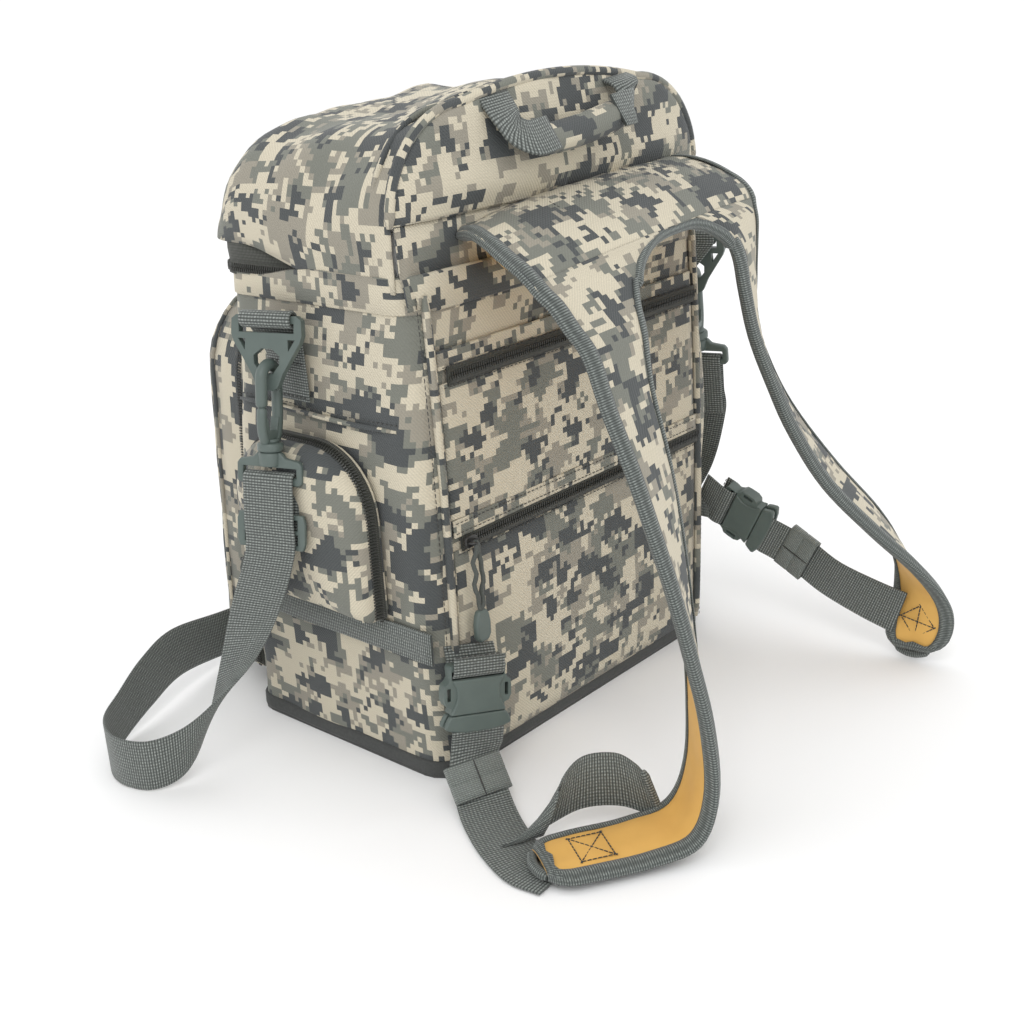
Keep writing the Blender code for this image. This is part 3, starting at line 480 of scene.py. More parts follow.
def body_wall():
    heights = [0.0026] + [RIM_Z * k / 30 for k in range(1, 31)]
    rings = [wall_ring(z) for z in heights]
    rows = [ring[0] for ring in rings]
    uvs = [[(u, z) for u in ring[1]] for ring, z in zip(rings, heights)]
    sheet_of("body_wall", rows, uvs, CAMO, 0.0014, replaced=("outer_shell",))
    hem = []
    levels = ((-0.0135, -0.0004, 0), (-0.0125, -0.0016, 0), (-0.004, -0.0022, 0.4), (0.0016, -0.0020, 1),
              (0.0024, 0.0004, 1))
    for rise, out, share in levels:
        points, run = wall_ring(min(RIM_Z + rise, RIM_Z), out, soft=1.0)
        row = []
        for p in points:
            height = HEM_RISE * smooth((0.045 - p.y) / 0.07) * share + crinkle(p, 0.05, 6.0) * 0.0012 * share
            row.append(Vector((p.x, p.y, RIM_Z + rise + height)))
        hem.append(row)
    uvs = [[(u + 0.4, p.z) for u, p in zip(run, row)] for row in hem]
    sheet_of("rim_hem", hem, uvs, CAMO, 0.0012)
    foot = []
    for z, out in ((0.0, -0.0004), (0.004, -0.0012), (0.0105, -0.0010), (0.0125, 0.0006)):
        points, run = wall_ring(z, out, soft=0.4)
        foot.append([Vector((p.x, p.y, max(z, 0.0003))) for p in points])
    uvs = [[(u, p.z) for u, p in zip(run, row)] for row in foot]
    sheet_of("base_hem", foot, uvs, BASE_CLOTH, 0.0012)
    give("base_panel", BASE_CLOTH)


def back_wall_y(z):
    return -BACK_Y + barrel(z)


def wall_panel(name, x_low, x_high, z_low, z_high, lift, puff, seed, replaced):
    """A pocket's outer panel on the harness side: flat at its seams and a little puffed between them."""
    across, up = 40, 18
    rows, uvs = [], []
    for j in range(up + 1):
        b = 2 * j / up - 1
        z = z_low + (z_high - z_low) * j / up
        row = []
        for i in range(across + 1):
            a = 2 * i / across - 1
            x = x_low + (x_high - x_low) * i / across
            soft = (1 - a ** 8) * (1 - b ** 6)
            p = Vector((x, 0, z))
            lump = puff + crinkle(p, 0.05, seed) * 0.0016 + crinkle(p, 0.018, seed + 3) * 0.0005
            out = lift + soft * lump
            row.append(Vector((x, back_wall_y(z) - out, z)))
        rows.append(row)
        uvs.append([(p.x + seed, p.z) for p in row])
    sheet_of(name, rows, uvs, CAMO, 0.0012, replaced=replaced)


def stitches(name, points, out, pitch=0.0042, length=0.0028, width=0.0007):
    """A run of raised stitches along points, standing off along out."""
    verts, faces = [], []
    route, out = catmull(points, 0.004), Vector(out).normalized()
    travelled, due = 0.0, 0.0
    for a, b in zip(route, route[1:]):
        span = (b - a).length
        while due <= travelled + span and span > 0:
            at = a.lerp(b, (due - travelled) / span)
            along = (b - a).normalized()
            wide = along.cross(out).normalized()
            base = len(verts)
            for s, w, h in ((-1, -1, 0), (1, -1, 0), (1, 1, 0), (-1, 1, 0), (-0.5, 0, 1), (0.5, 0, 1)):
                verts.append(at + along * s * length / 2 + wide * w * width / 2 + out * h * 0.0005)
            for face in ((0, 1, 5, 4), (1, 2, 5), (2, 3, 4, 5), (3, 0, 4), (0, 3, 2, 1)):
                faces.append([base + f for f in face])
            due += pitch
        travelled += span
    make_piece(name, verts, faces, [], THREAD)


def zip_run(name, points, outs, replaced, tape=0.0125):
    """A zip along points: the tape, and two rows of teeth that meet in the middle."""
    route = catmull(points, 0.005)
    facing = []
    for i in range(len(points) - 1):
        count = max(1, round((Vector(points[i + 1]) - Vector(points[i])).length / 0.005))
        facing += [Vector(outs[i]).lerp(Vector(outs[i + 1]), k / count) for k in range(count)]
    facing.append(Vector(outs[-1]))
    facing = [f.normalized() for f in facing]
    left, right = [], []
    last = len(route) - 1
    wides = []
    for i, (p, out) in enumerate(zip(route, facing)):
        ahead = (route[min(i + 1, last)] - route[max(i - 1, 0)]).normalized()
        wide = out.cross(ahead).normalized()
        wides.append(wide)
        left.append(p - wide * tape / 2)
        right.append(p + wide * tape / 2)
    section = [(0, 0.0003), (0.25, 0.0007), (0.5, 0.0009), (0.75, 0.0007), (1, 0.0003),
               (1, -0.0006), (0, -0.0006)]
    ribbon(name, right, left, section, TAPE, "root", replaced)
    verts, faces = [], []
    travelled, due = 0.0, 0.002
    for i in range(last):
        a, b = route[i], route[i + 1]
        span = (b - a).length
        while due <= travelled + span:
            at = a.lerp(b, (due - travelled) / span) + facing[i] * 0.0011
            along, out, wide = (b - a).normalized(), facing[i], wides[i]
            for side in (-1, 1):
                middle = at + along * (0.0009 * side)
                base = len(verts)
                for u, w, h in ((-0.5, 0.15, 0), (0.5, 0.15, 0), (0.9, 2.9, 0), (-0.1, 2.9, 0),
                                (-0.4, 0.35, 0.9), (0.4, 0.35, 0.9), (0.8, 2.7, 0.6), (0.0, 2.7, 0.6)):
                    verts.append(middle + (along * u + wide * w * side + out * h) * 0.001)
                quads = ((4, 5, 6, 7), (0, 1, 5, 4), (1, 2, 6, 5), (2, 3, 7, 6), (3, 0, 4, 7), (0, 3, 2, 1))
                if side < 0:
                    quads = [q[::-1] for q in quads]
                faces += [[base + f for f in q] for q in quads]
            due += 0.0021
        travelled += span
    make_piece(name + "_teeth", verts, faces, [], TEETH, smooth=False)


def harness_side():
    half = 0.1385
    wall_panel("upper_pocket_panel", -half, half, 0.1815, 0.2795, 0.0012, 0.0022, 2.0, ("back_upper_pocket",))
    wall_panel("lower_pocket_panel", -half, half, 0.011, 0.1665, 0.0012, 0.0030, 4.0, ("back_lower_pocket",))
    wall_panel("upper_hem", -half, half, 0.2885, 0.3010, 0.0014, 0.0008, 6.0, ())
    wall_panel("middle_hem", -half, half, 0.1765, 0.1885, 0.0030, 0.0006, 8.0, ())
    for name, z, low, high in (("back_upper_zip", 0.284, -0.132, 0.142), ("back_lower_zip", 0.172, -0.132, 0.142)):
        y = back_wall_y(z) - 0.0022
        points = [(x, y, z) for x in (low, low / 2, 0, high / 2, high)]
        zip_run(name + "_run", points, [(0, -1, 0)] * 5, replaced=(name,))
    for z, name in ((0.2775, "a"), (0.2905, "b"), (0.1650, "c"), (0.1795, "d"), (0.1865, "e")):
        y = back_wall_y(z) - 0.0040
        stitches("seam_stitches_" + name, [(-0.136, y, z), (0, y - 0.0004, z), (0.136, y, z)], (0, -1, 0))
    heights = [0.012 + 0.0325 * k for k in range(11)]
    for side, name in ((-1, "left"), (1, "right")):
        points = [(side * 0.1435, back_wall_y(z) - 0.0012, z) for z in heights]
        tube(name + "_corner_seam", catmull(points, 0.01), 0.0030, CAMO)
        edge = [(side * 0.150, back_wall_y(z), z) for z in heights]
        stitches(name + "_corner_stitches", edge, (0, -1, 0))


# The lid


SHOULDER = 0.066
LID_HALF = 0.158
LID_BACK = -0.092
CROWN = 0.010
ARCH_PIECES = 60


def lid_arch(inset, low):
    """Evenly spaced points (x, z, length so far) of the lid's arch from its right foot to its left foot."""
    half, flat = LID_HALF - inset, LID_HALF - SHOULDER
    shoulder_z = TOP_Z - CROWN - SHOULDER
    dense = [(half, low + (shoulder_z - low) * k / 8) for k in range(8)]
    for k in range(13):
        turn = math.pi / 2 * k / 12
        dense.append((flat + (SHOULDER - inset) * math.cos(turn), shoulder_z + (SHOULDER - inset) * math.sin(turn)))
    for k in range(1, 9):
        x = flat * (1 - k / 8)
        dense.append((x, TOP_Z - CROWN - inset + CROWN * (1 - (x / flat) ** 2)))
    dense += [(-x, z) for x, z in reversed(dense[:-1])]
    lengths = [0.0]
    for a, b in zip(dense, dense[1:]):
        lengths.append(lengths[-1] + math.dist(a, b))
    found = []
    j = 0
    for k in range(ARCH_PIECES + 1):
        at = lengths[-1] * k / ARCH_PIECES
        while j < len(lengths) - 2 and lengths[j + 1] < at:
            j += 1
        t = (at - lengths[j]) / max(lengths[j + 1] - lengths[j], 1e-9)
        (x, z), (next_x, next_z) = dense[j], dense[j + 1]
        found.append((x + (next_x - x) * t, z + (next_z - z) * t, at))
    return found


def lid_front_y(z):
    return 0.088 - 0.32 * (z - PARTING_Z)


def lid_foot(y):
    """The height of the lid's lower edge, which dips behind the rim's hem towards the back."""
    return PARTING_Z - 0.0095 + 0.0215 * smooth((y + 0.045) / 0.095)


def lid_cover():
    """The band over the top and sides, rounding over into the front face."""
    rows, uvs, linings = [], [], []
    stations = [0.0, 0.02, 0.06, 0.12, 0.2, 0.28, 0.36, 0.44, 0.52, 0.6, 0.68, 0.75, 0.81, 0.86, 0.90,
                0.935, 0.965, 0.985, 1.0]
    for t in stations:
        bend = max(0.0, (t - 0.84) / 0.16)
        inset = 0.022 * (1 - math.sqrt(max(0.0, 1 - bend * bend)))
        row, uv = [], []
        for x, z, run in lid_arch(inset, PARTING_Z):
            y = LID_BACK + (lid_front_y(z) + 0.004 - LID_BACK) * t
            z = PARTING_Z + (z - PARTING_Z) * (1 - 0.10 * t)
            rise = max(0.0, 1 - (z - PARTING_Z) / 0.05)
            z += (lid_foot(y) - PARTING_Z) * rise
            p = Vector((x, y, z))
            out = Vector((x / LID_HALF, 0.25 * bend, (z - 0.34) / 0.12)).normalized()
            away = min(1.0, 0.15 + max(0.0, z - PARTING_Z) / 0.025) * (1 if t > 0.01 else 0.3)
            sag = -0.0045 * math.sin(math.pi * t) ** 2 * smooth((z - 0.42) / 0.02)
            drawn_out = Vector((p.x, p.y * 0.45, p.z))
            soft = crinkle(p, 0.06, 9.0) * 0.0064 + crinkle(drawn_out, 0.024, 2.0) * 0.0026
            fold = math.sin((p.y + 0.5 * (p.z - 0.40)) * 95 + 1.2) * math.exp(-((p.z - 0.415) / 0.028) ** 2)
            soft += 0.0016 * fold * smooth(abs(p.x) / 0.12 - 0.4)
            row.append(p + out * ((soft + sag) * away - 0.0008))
            uv.append((run, t * 0.18))
        rows.append(row)
        uvs.append(uv)
    for k in range(len(rows[0])):
        travelled = 0.0
        for i in range(1, len(rows)):
            travelled += (rows[i][k] - rows[i - 1][k]).length
            uvs[i][k] = (uvs[i][k][0], travelled)
    sheet_of("lid_dome", rows, uvs, CAMO, 0.0014, "lid", ("lid_cover",))
    edge_row = rows[-1]
    faces, face_uvs = [edge_row], [[(p.x, p.z + 0.5) for p in edge_row]]
    for scale in (0.92, 0.80, 0.62, 0.40, 0.18, 0.002):
        row, uv = [], []
        middle = Vector((0, 0, lid_foot(0.09)))
        for edge in edge_row:
            flat = Vector((edge.x, 0, edge.z))
            q = middle + (flat - middle) * scale
            y = lid_front_y(q.z) + 0.004 + 0.005 * (1 - scale) + crinkle(q, 0.05, 1.0) * 0.003
            row.append(Vector((q.x, y, q.z)))
            uv.append((q.x, q.z + 0.5))
        faces.append(row)
        face_uvs.append(uv)
    sheet_of("lid_front_face", faces, face_uvs, CAMO, 0.0014, "lid")
    centre = Vector((0, -0.02, 0.345))
    smaller = Vector((0.958, 0.945, 0.95))
    for row in rows + faces[1:]:
        linings.append([centre + (p - centre) * smaller for p in row][::-1])
    lining_uvs = [u[::-1] for u in uvs + face_uvs[1:]]
    sheet_of("lid_lining_face", linings, lining_uvs, LINING, 0.0008, "lid", ("lid_lining",))
    last = [Vector((p.x * 0.95, LID_BACK + 0.004, 0.345 + (p.z - 0.345) * 0.95)) for p in rows[0]]
    scales = (1, 0.8, 0.6, 0.4, 0.2, 0.02)
    back_rows = [[Vector((p.x * k, p.y, 0.39 + (p.z - 0.39) * k)) for p in last] for k in scales]
    back_uvs = [[(p.x, p.z) for p in row] for row in back_rows]
    sheet_of("lid_lining_back", back_rows, back_uvs, LINING, 0.0008, "lid", ())


def lid_back_point(x, z):
    """The lid's back panel: padded, with a soft roll above the yoke's seam."""
    height = (z - HINGE_Z) / (TOP_Z - HINGE_Z)
    side = abs(x) / LID_HALF
    roll = 0.0065 * math.exp(-((height - 0.22) / 0.16) ** 2) * (1 - side ** 4)
    puff = 0.0040 * (1 - side ** 4) * math.sin(math.pi * min(1.0, max(0.0, height * 0.95 + 0.05)))
    p = Vector((x, 0, z))
    crease = crinkle(p, 0.045, 7.0) * 0.0034 + crinkle(Vector((x + 0.6 * z, 0, 0.3 * z)), 0.020, 4.0) * 0.0016
    return -0.0938 - roll - puff - crease * (1 - side ** 6) * min(1.0, height * 4)


def lid_back():
    rows, uvs = [], []
    for scale in (1.0, 0.985, 0.95, 0.89, 0.8, 0.68, 0.54, 0.38, 0.2, 0.002):
        row, uv = [], []
        for x, z, _ in lid_arch(0.0012, HINGE_Z + 0.0008):
            px = x * scale
            pz = HINGE_Z + 0.0008 + (z - HINGE_Z - 0.0008) * scale
            y = lid_back_point(px, pz) if scale < 1 else -0.0930
            row.append(Vector((px, y, pz)))
            uv.append((px + 1.3, pz))
        rows.append(row)
        uvs.append(uv)
    made = sheet_of("lid_back_face", rows, uvs, CAMO, 0.0014, "lid", ("lid_back_panel",))
    made.modifiers["Solid"].offset = 1.0
    pipings = (("lid_back_piping", -0.0012, -0.0932, 0.0034), ("lid_top_piping", 0.0012, -0.076, 0.0024))
    for name, inset, y, radius in pipings:
        low = HINGE_Z if y < -0.09 else PARTING_Z + 0.004
        points = [Vector((x, y, z)) for x, z, _ in lid_arch(inset, low)]
        tube(name, points, radius, CAMO, "lid")
    rows, uvs = [], []
    levels = ((RIM_Z - 0.010, -0.1010), (RIM_Z + 0.004, -0.0985), (0.352, -0.0955), (0.366, -0.0952),
              (HINGE_Z, -0.0950))
    for z, y in levels:
        half = 0.1565
        row = []
        for k in range(33):
            x = -half + 2 * half * k / 32
            row.append(Vector((x, y - crinkle(Vector((x, 0, z)), 0.04, 3.0) * 0.001, z)))
        rows.append(row)
        uvs.append([(p.x + 1.3, p.z) for p in row])
    sheet_of("hinge_fabric", rows, uvs, CAMO, 0.0010, replaced=("hinge_strip",))


def lid_handle():
    """A camouflage roll between two webbing loops that are sewn into the lid's back piping."""
    left = Vector((-0.062, -0.0990, 0.4330))
    right = Vector((0.062, -0.0990, 0.4450))
    along = (right - left).normalized()
    drop = Vector((0, -0.013, -0.017))
    start, end = left + along * 0.017 + drop, right - along * 0.017 + drop
    roll = [start.lerp(end, k / 14) + Vector((0, 0, -0.0022 * math.sin(math.pi * k / 14))) for k in range(15)]
    made = tube("handle_roll", roll, 0.0105, CAMO, "handle", ("handle_grip",), sides=16, flat=0.9)
    for name, foot, grip, sign in (("left", left, start, 1), ("right", right, end, -1)):
        path = [Vector((foot.x, -0.0935, 0.4490)), foot + Vector((0, -0.0035, -0.001)),
                foot + along * sign * 0.002 + drop * 0.55, foot + along * sign * 0.010 + drop * 0.92,
                grip + along * sign * 0.011]
        route = catmull(path, 0.004)
        wide = Vector((0, 0.55, 0.83))
        lefts, rights = [], []
        for i, p in enumerate(route):
            share = i / (len(route) - 1)
            w = along.lerp(wide, smooth((share - 0.12) / 0.75)).normalized() * (0.0140 - 0.0022 * share)
            lift = Vector((0, -0.0076 * min(1.0, share * 1.5), 0.004 * share))
            lefts.append(p - w + lift)
            rights.append(p + w + lift)
        ribbon(name + "_handle_webbing", lefts, rights, flat_section(0.0022), WEB, "handle")


ZIP_Z = 0.344


def lid_zip():
    """The dark gusset that holds the lid's zip, standing on the rim round the front and most of each side."""
    rows, uvs, path = [], [], []
    for side in (1, -1):
        ys = [-0.090, -0.068, -0.045, -0.020, 0.005, 0.030, 0.052]
        leg = [Vector((side * (HALF_WIDTH - BARREL - 0.0045), y, 0)) for y in ys]
        path = path + leg if side > 0 else path + leg[::-1]
        if side > 0:
            corner = Vector((HALF_WIDTH - BARREL - 0.022, 0.0585, 0))
            for sign in (1, -1):
                turns = [math.radians(15 * k) for k in range(1, 6)]
                turns = turns if sign > 0 else turns[::-1]
                for t in turns:
                    x, y = corner.x + 0.0175 * math.cos(t), corner.y + 0.0175 * math.sin(t)
                    path.append(Vector((sign * x, y, 0)))
                if sign > 0:
                    path += [Vector((x, 0.076, 0)) for x in (0.12, 0.06, 0, -0.06, -0.12)]
    heights = [lid_foot(p.y) + 0.004 - RIM_Z for p in path]
    zip_points, zip_outs = [], []
    for level in range(5):
        row, uv = [], []
        run = 0.0
        for i, p in enumerate(path):
            if i:
                run += (p - path[i - 1]).length
            z = RIM_Z - 0.010 + (heights[i] + 0.010) * level / 4
            ahead = (path[min(i + 1, len(path) - 1)] - path[max(i - 1, 0)]).normalized()
            out = Vector((-ahead.y, ahead.x, 0)) * -1
            bulge = 0.0030 * math.sin(math.pi * level / 4) - 0.0015 + 0.0065 * level / 4 * smooth(p.y / 0.05)
            row.append(Vector((p.x, p.y, z)) + out * bulge)
            uv.append((run, z))
            if level == 2:
                zip_points.append(Vector((p.x, p.y, ZIP_Z)) + out * (0.0020 + 0.0028 * smooth(p.y / 0.05)))
                zip_outs.append(out + Vector((0, 0, 0.10)))
        rows.append(row)
        uvs.append(uv)
    sheet_of("lid_gusset", rows, uvs, TAPE, 0.0012)
    zip_run("lid_zip_run", zip_points, zip_outs, replaced=("lid_zip",), tape=0.009)


# Pockets


def arch_2d(half, low, top, radius):
    """A D-shaped outline as (a, b) points, from the right foot over to the left, then along the flat foot."""
    right = [(half, low + (top - radius - low) * k / 10) for k in range(10)]
    for k in range(9):
        turn = math.pi / 2 * k / 8
        right.append((half - radius + radius * math.cos(turn), top - radius + radius * math.sin(turn)))
    middle = [((half - radius) * (1 - k / 4), top) for k in (1, 2, 3)]
    return right + middle + [(0, top)] + [(-a, b) for a, b in reversed(right + middle)]


def domed_pocket(name, outline, place, profile, body, replaced, seed, soft=0.0016):
    """A pouch: the outline shrinks towards its middle while it rises off the wall."""
    foot = [(outline[-1][0] + (outline[0][0] - outline[-1][0]) * k / 12, outline[0][1]) for k in range(1, 12)]
    loop = outline + foot + [outline[0]]
    mid_b = (min(b for a, b in loop) + max(b for a, b in loop)) / 2
    spreads = [0.0]
    for (first, low), (second, high) in zip(profile[::-1], profile[-2::-1]):
        spreads.append(spreads[-1] + math.hypot(first - second, (high - low) / 0.06))
    rows, uvs = [], []
    for (scale, depth), spread in zip(profile, spreads[::-1]):
        row, uv = [], []
        for a, b in loop:
            qa, qb = a * scale, mid_b + (b - mid_b) * scale
            p = Vector((qa, qb, 0))
            lump = crinkle(p, 0.035, seed) * soft + crinkle(p, 0.014, seed + 2) * soft * 0.3
            rise = depth + lump * min(1, depth / 0.012)
            row.append(place @ Vector((qa, qb, rise)))
            uv.append((a * spread + seed, (b - mid_b) * spread))
        rows.append(row)
        uvs.append(uv)
    sheet_of(name, rows, uvs, CAMO, 0.0012, body, replaced)


def frame_at(origin, first, second, third):
    turn = Matrix((Vector(first), Vector(second), Vector(third))).transposed()
    return Matrix.Translation(Vector(origin)) @ turn.to_4x4()


def width_of(place):
    """The direction of a frame's first axis, which a webbing's width lies along at a buckle or a ring."""
    return place.to_3x3() @ Vector((1, 0, 0))


def side_details(side, name):
    place = frame_at((side * HALF_WIDTH, 0, 0), (0, -side, 0), (0, 0, 1), (side, 0, 0))
    low, top, half = 0.1195, 0.234, 0.062
    outline = arch_2d(half, low, top, 0.046)
    profile = [(1.0, 0.0004), (1.0, 0.004), (0.995, 0.0135), (0.975, 0.0165), (0.93, 0.0195), (0.84, 0.0225),
               (0.70, 0.0245), (0.50, 0.0258), (0.28, 0.0262), (0.002, 0.0262)]
    domed_pocket(name + "_pouch", outline, place, profile, "root", (name + "_pocket",), 3.0 + side)
    path = arch_2d(half + 0.0012, low, top + 0.0012, 0.0472)
    points = [place @ Vector((a, b, 0.0088)) for a, b in path]
    middle = place @ Vector((0, 0.172, 0.0088))
    outs = []
    for p, (a, b) in zip(points, path):
        away = Vector((0, p.y - middle.y, p.z - middle.z))
        straight = b < top - 0.046
        out = Vector((0, math.copysign(1, p.y - middle.y), 0)) if straight else away.normalized()
        outs.append(out + Vector((side * 0.55, 0, 0)))
    zip_run(name + "_pocket_zip_run", points, outs, replaced=(name + "_pocket_zip",), tape=0.011)
    for inset, depth, bead in ((0.0006, 0.0026, 0.0016), (0.0045, 0.0178, 0.0015)):
        wider = 0.0022 * (depth < 0.01)
        ring = arch_2d(half - inset + wider, low, top - inset + wider, 0.046)
        ring = [place @ Vector((a, b, depth)) for a, b in ring]
        tube(name + "_pocket_piping_%d" % (depth * 10000), ring, bead, CAMO)
    band_place = side * (HALF_WIDTH + 0.0012)
    ys = [-0.104 + 0.0089 * k for k in range(21)]
    lefts = [Vector((band_place + side * crinkle(Vector((y, 0, 0)), 0.03) * 0.0004, y, 0.116)) for y in ys]
    rights = [p - Vector((0, 0, 0.023)) for p in lefts]
    if side < 0:
        lefts, rights = rights, lefts
    ribbon(name + "_band_webbing", lefts, rights, flat_section(0.0018), WEB, "root", (name + "_band",))
    wall, ys = side * (HALF_WIDTH - barrel(0.2515) + 0.0004), [-0.086 + 0.0172 * k for k in range(10)]
    seam = [Vector((wall, y, 0.2515 + 0.001 * math.sin(y * 40))) for y in ys]
    tube(name + "_side_seam", seam, 0.0019, CAMO)
    stitches(name + "_side_seam_stitches", [p + Vector((side * 0.0003, 0, 0.0045)) for p in seam], (side, 0, 0))


FRONT_UP = Vector((0, FRONT_Y_RIM - FRONT_Y_BASE, RIM_Z)).normalized()
FRONT_OUT = Vector((0, FRONT_UP.z, -FRONT_UP.y))
FRONT_PLACE = frame_at((0, FRONT_Y_BASE, 0), (1, 0, 0), FRONT_UP, FRONT_OUT)


def front_pocket():
    low, top, half, radius = 0.022, 0.312, 0.138, 0.055
    depth, middle = 0.043, (low + top) / 2
    outline = arch_2d(half, low, top, radius)
    foot = [(-half + 2 * half * k / 16, low) for k in range(1, 16)]
    loop = outline + foot + [outline[0]]
    rows, uvs = [], []
    run = [0.0]
    for a, b in zip(loop, loop[1:]):
        run.append(run[-1] + math.dist(a, b))
    for d, out in ((0.0006, 0.0), (0.006, 0.0006), (0.012, 0.0010), (0.018, 0.0008), (0.027, 0.0006), (depth, 0.0)):
        row = []
        for a, b in loop:
            q = Vector((a, b - middle, 0))
            push = 1 + (out + crinkle(Vector((a, b, d)), 0.04) * 0.0012) / max(q.length, 0.01)
            row.append(FRONT_PLACE @ Vector((a * push, (b - middle) * push + middle, d)))
        rows.append(row)
        uvs.append([(u, d) for u in run])
    sheet_of("front_gusset", rows, uvs, CAMO, 0.0012, "root", ("front_pocket_gusset",))
    profile = [(1.0, depth + 0.0004), (0.99, depth + 0.005), (0.96, depth + 0.0105), (0.90, depth + 0.0145),
               (0.78, depth + 0.0175), (0.58, depth + 0.0195), (0.34, depth + 0.0205), (0.002, depth + 0.0205)]
    domed_pocket("front_panel_face", outline, FRONT_PLACE, profile, "front_panel", ("front_pocket_panel",),
                 12.0, 0.0022)
    path = arch_2d(half + 0.0014, low, top + 0.0014, radius + 0.0014)
    points = [FRONT_PLACE @ Vector((a, b, 0.012)) for a, b in path]
    outs = []
    for a, b in path:
        ca, cb = math.copysign(half - radius, a), top - radius
        if b < cb:
            local = Vector((math.copysign(1, a), 0, 0))
        elif abs(a) < half - radius:
            local = Vector((0, 1, 0))
        else:
            local = Vector((a - ca, b - cb, 0)).normalized()
        outs.append(FRONT_PLACE.to_3x3() @ local)
    zip_run("front_pocket_zip_run", points, outs, replaced=("front_pocket_zip",), tape=0.011)
    for d, name in ((0.0022, "wall"), (depth - 0.001, "panel")):
        ring = [FRONT_PLACE @ Vector((a, b, d)) for a, b in arch_2d(half + 0.0012, low, top + 0.0012, radius)]
        tube("front_pocket_%s_piping" % name, ring, 0.0020, CAMO)


# The harness: yoke, padded straps and their bound edges


YOKE_ROWS = [
    ((-0.104, -0.0965, 0.3670), (0.132, -0.0965, 0.3840)),
    ((-0.110, -0.1120, 0.3690), (0.133, -0.1120, 0.3840)),
    ((-0.116, -0.1300, 0.3650), (0.135, -0.1290, 0.3800)),
    ((-0.120, -0.1480, 0.3570), (0.138, -0.1450, 0.3720)),
    ((-0.121, -0.1600, 0.3510), (0.140, -0.1550, 0.3640)),
    ((-0.1205, -0.1680, 0.3445), (0.1412, -0.1580, 0.3575)),
]
LEFT_ROWS = [
    ((-0.1200, -0.1740, 0.3385), (-0.012, -0.1710, 0.3455)),
    ((-0.1170, -0.1810, 0.3310), (-0.029, -0.1785, 0.3360)),
    ((-0.1130, -0.1880, 0.3185), (-0.040, -0.1870, 0.3210)),
    ((-0.1060, -0.1965, 0.3005), (-0.045, -0.1955, 0.3025)),
]
RIGHT_ROWS = [
    ((0.072, -0.1665, 0.3480), (0.1420, -0.1580, 0.3515)),
    ((0.086, -0.1705, 0.3395), (0.1435, -0.1580, 0.3420)),
    ((0.094, -0.1745, 0.3240), (0.1440, -0.1565, 0.3260)),
    ((0.095, -0.1792, 0.3015), (0.1430, -0.1560, 0.3030)),
]
LEFT_STRAP = [
    ((-0.0810, -0.2080, 0.2720), 8, 0.060),
    ((-0.0840, -0.2240, 0.2350), 14, 0.058),
    ((-0.0850, -0.2360, 0.1980), 20, 0.056),
    ((-0.0870, -0.2470, 0.1620), 28, 0.054),
    ((-0.0910, -0.2580, 0.1250), 36, 0.053),
    ((-0.0980, -0.2700, 0.0850), 46, 0.052),
    ((-0.1060, -0.2760, 0.0430), 53, 0.052),
    ((-0.1190, -0.2710, 0.0145), 57, 0.052),
    ((-0.1450, -0.2550, 0.0075), 59, 0.052),
    ((-0.1750, -0.2360, 0.0070), 59, 0.052),
    ((-0.2000, -0.2210, 0.0070), 59, 0.048),
]
RIGHT_STRAP = [
    ((0.1160, -0.1740, 0.2700), 34, 0.058),
    ((0.1210, -0.1850, 0.2350), 36, 0.057),
    ((0.1300, -0.1990, 0.2000), 32, 0.056),
    ((0.1500, -0.2200, 0.1560), 24, 0.054),
    ((0.1720, -0.2460, 0.1170), 27, 0.052),
    ((0.1880, -0.2650, 0.0860), 46, 0.051),
    ((0.1960, -0.2750, 0.0580), 72, 0.050),
    ((0.1965, -0.2760, 0.0330), 90, 0.050),
    ((0.1925, -0.2720, 0.0090), 96, 0.044),
]


def padded(share, power=3.0):
    """How full a padded strap is across its width, from its bound edges to its middle."""
    return 0.42 + 0.58 * (1 - abs(2 * share - 1) ** power)


YOKE_CROWN = 0.0045
PADDING = 0.0036


def yoke_rise(share):
    return PADDING * padded(share, 8.0), YOKE_CROWN * math.sin(math.pi * share)


def row_normals(left, right, first=None):
    last = len(left) - 1
    normals = []
    for i in range(last + 1):
        after, before = min(i + 1, last), max(i - 1, 0)
        ahead = left[after] + right[after] - left[before] - right[before]
        n = ahead.cross(right[i] - left[i]).normalized()
        if first is not None and i < 5:
            n = first.lerp(n, smooth(i / 5)).normalized()
        normals.append(n)
    return normals


def strap_faces(name, left, right, normals, span, columns, start, replaced=()):
    """A padded strap's camouflage face and tan backing.

    span is its share of the yoke's width where it begins, and start is where its flat coordinates begin.
    """
    for side, material, label, used in ((1, CAMO, "face", replaced), (-1, TAN, "backing", ())):
        rows, uvs = [], []
        run = start[1]
        for i, (a, b, n) in enumerate(zip(left, right, normals)):
            if i:
                run += ((a + b - left[i - 1] - right[i - 1]) / 2).length
            fade = 1 - smooth(i / 9)
            row, uv = [], []
            for k in range(columns):
                share = k / (columns - 1)
                p = a.lerp(b, share)
                thick, crown = yoke_rise(span[0] + (span[1] - span[0]) * share)
                thick = thick * fade + PADDING * padded(share) * (1 - fade)
                crown *= fade
                lump = crinkle(p, 0.04, 8.0) * 0.0022 + crinkle(p, 0.014, 1.0) * 0.0008
                lump *= fade + (1 - fade) * math.sin(math.pi * share)
                row.append(p + n * (side * thick + crown + lump))
                uv.append((start[0] + (b - a).length * share, run))
            rows.append(row if side > 0 else row[::-1])
            uvs.append(uv if side > 0 else uv[::-1])
        made = sheet_of(name + "_" + label, rows, uvs, material, 0.0008, "root", used)


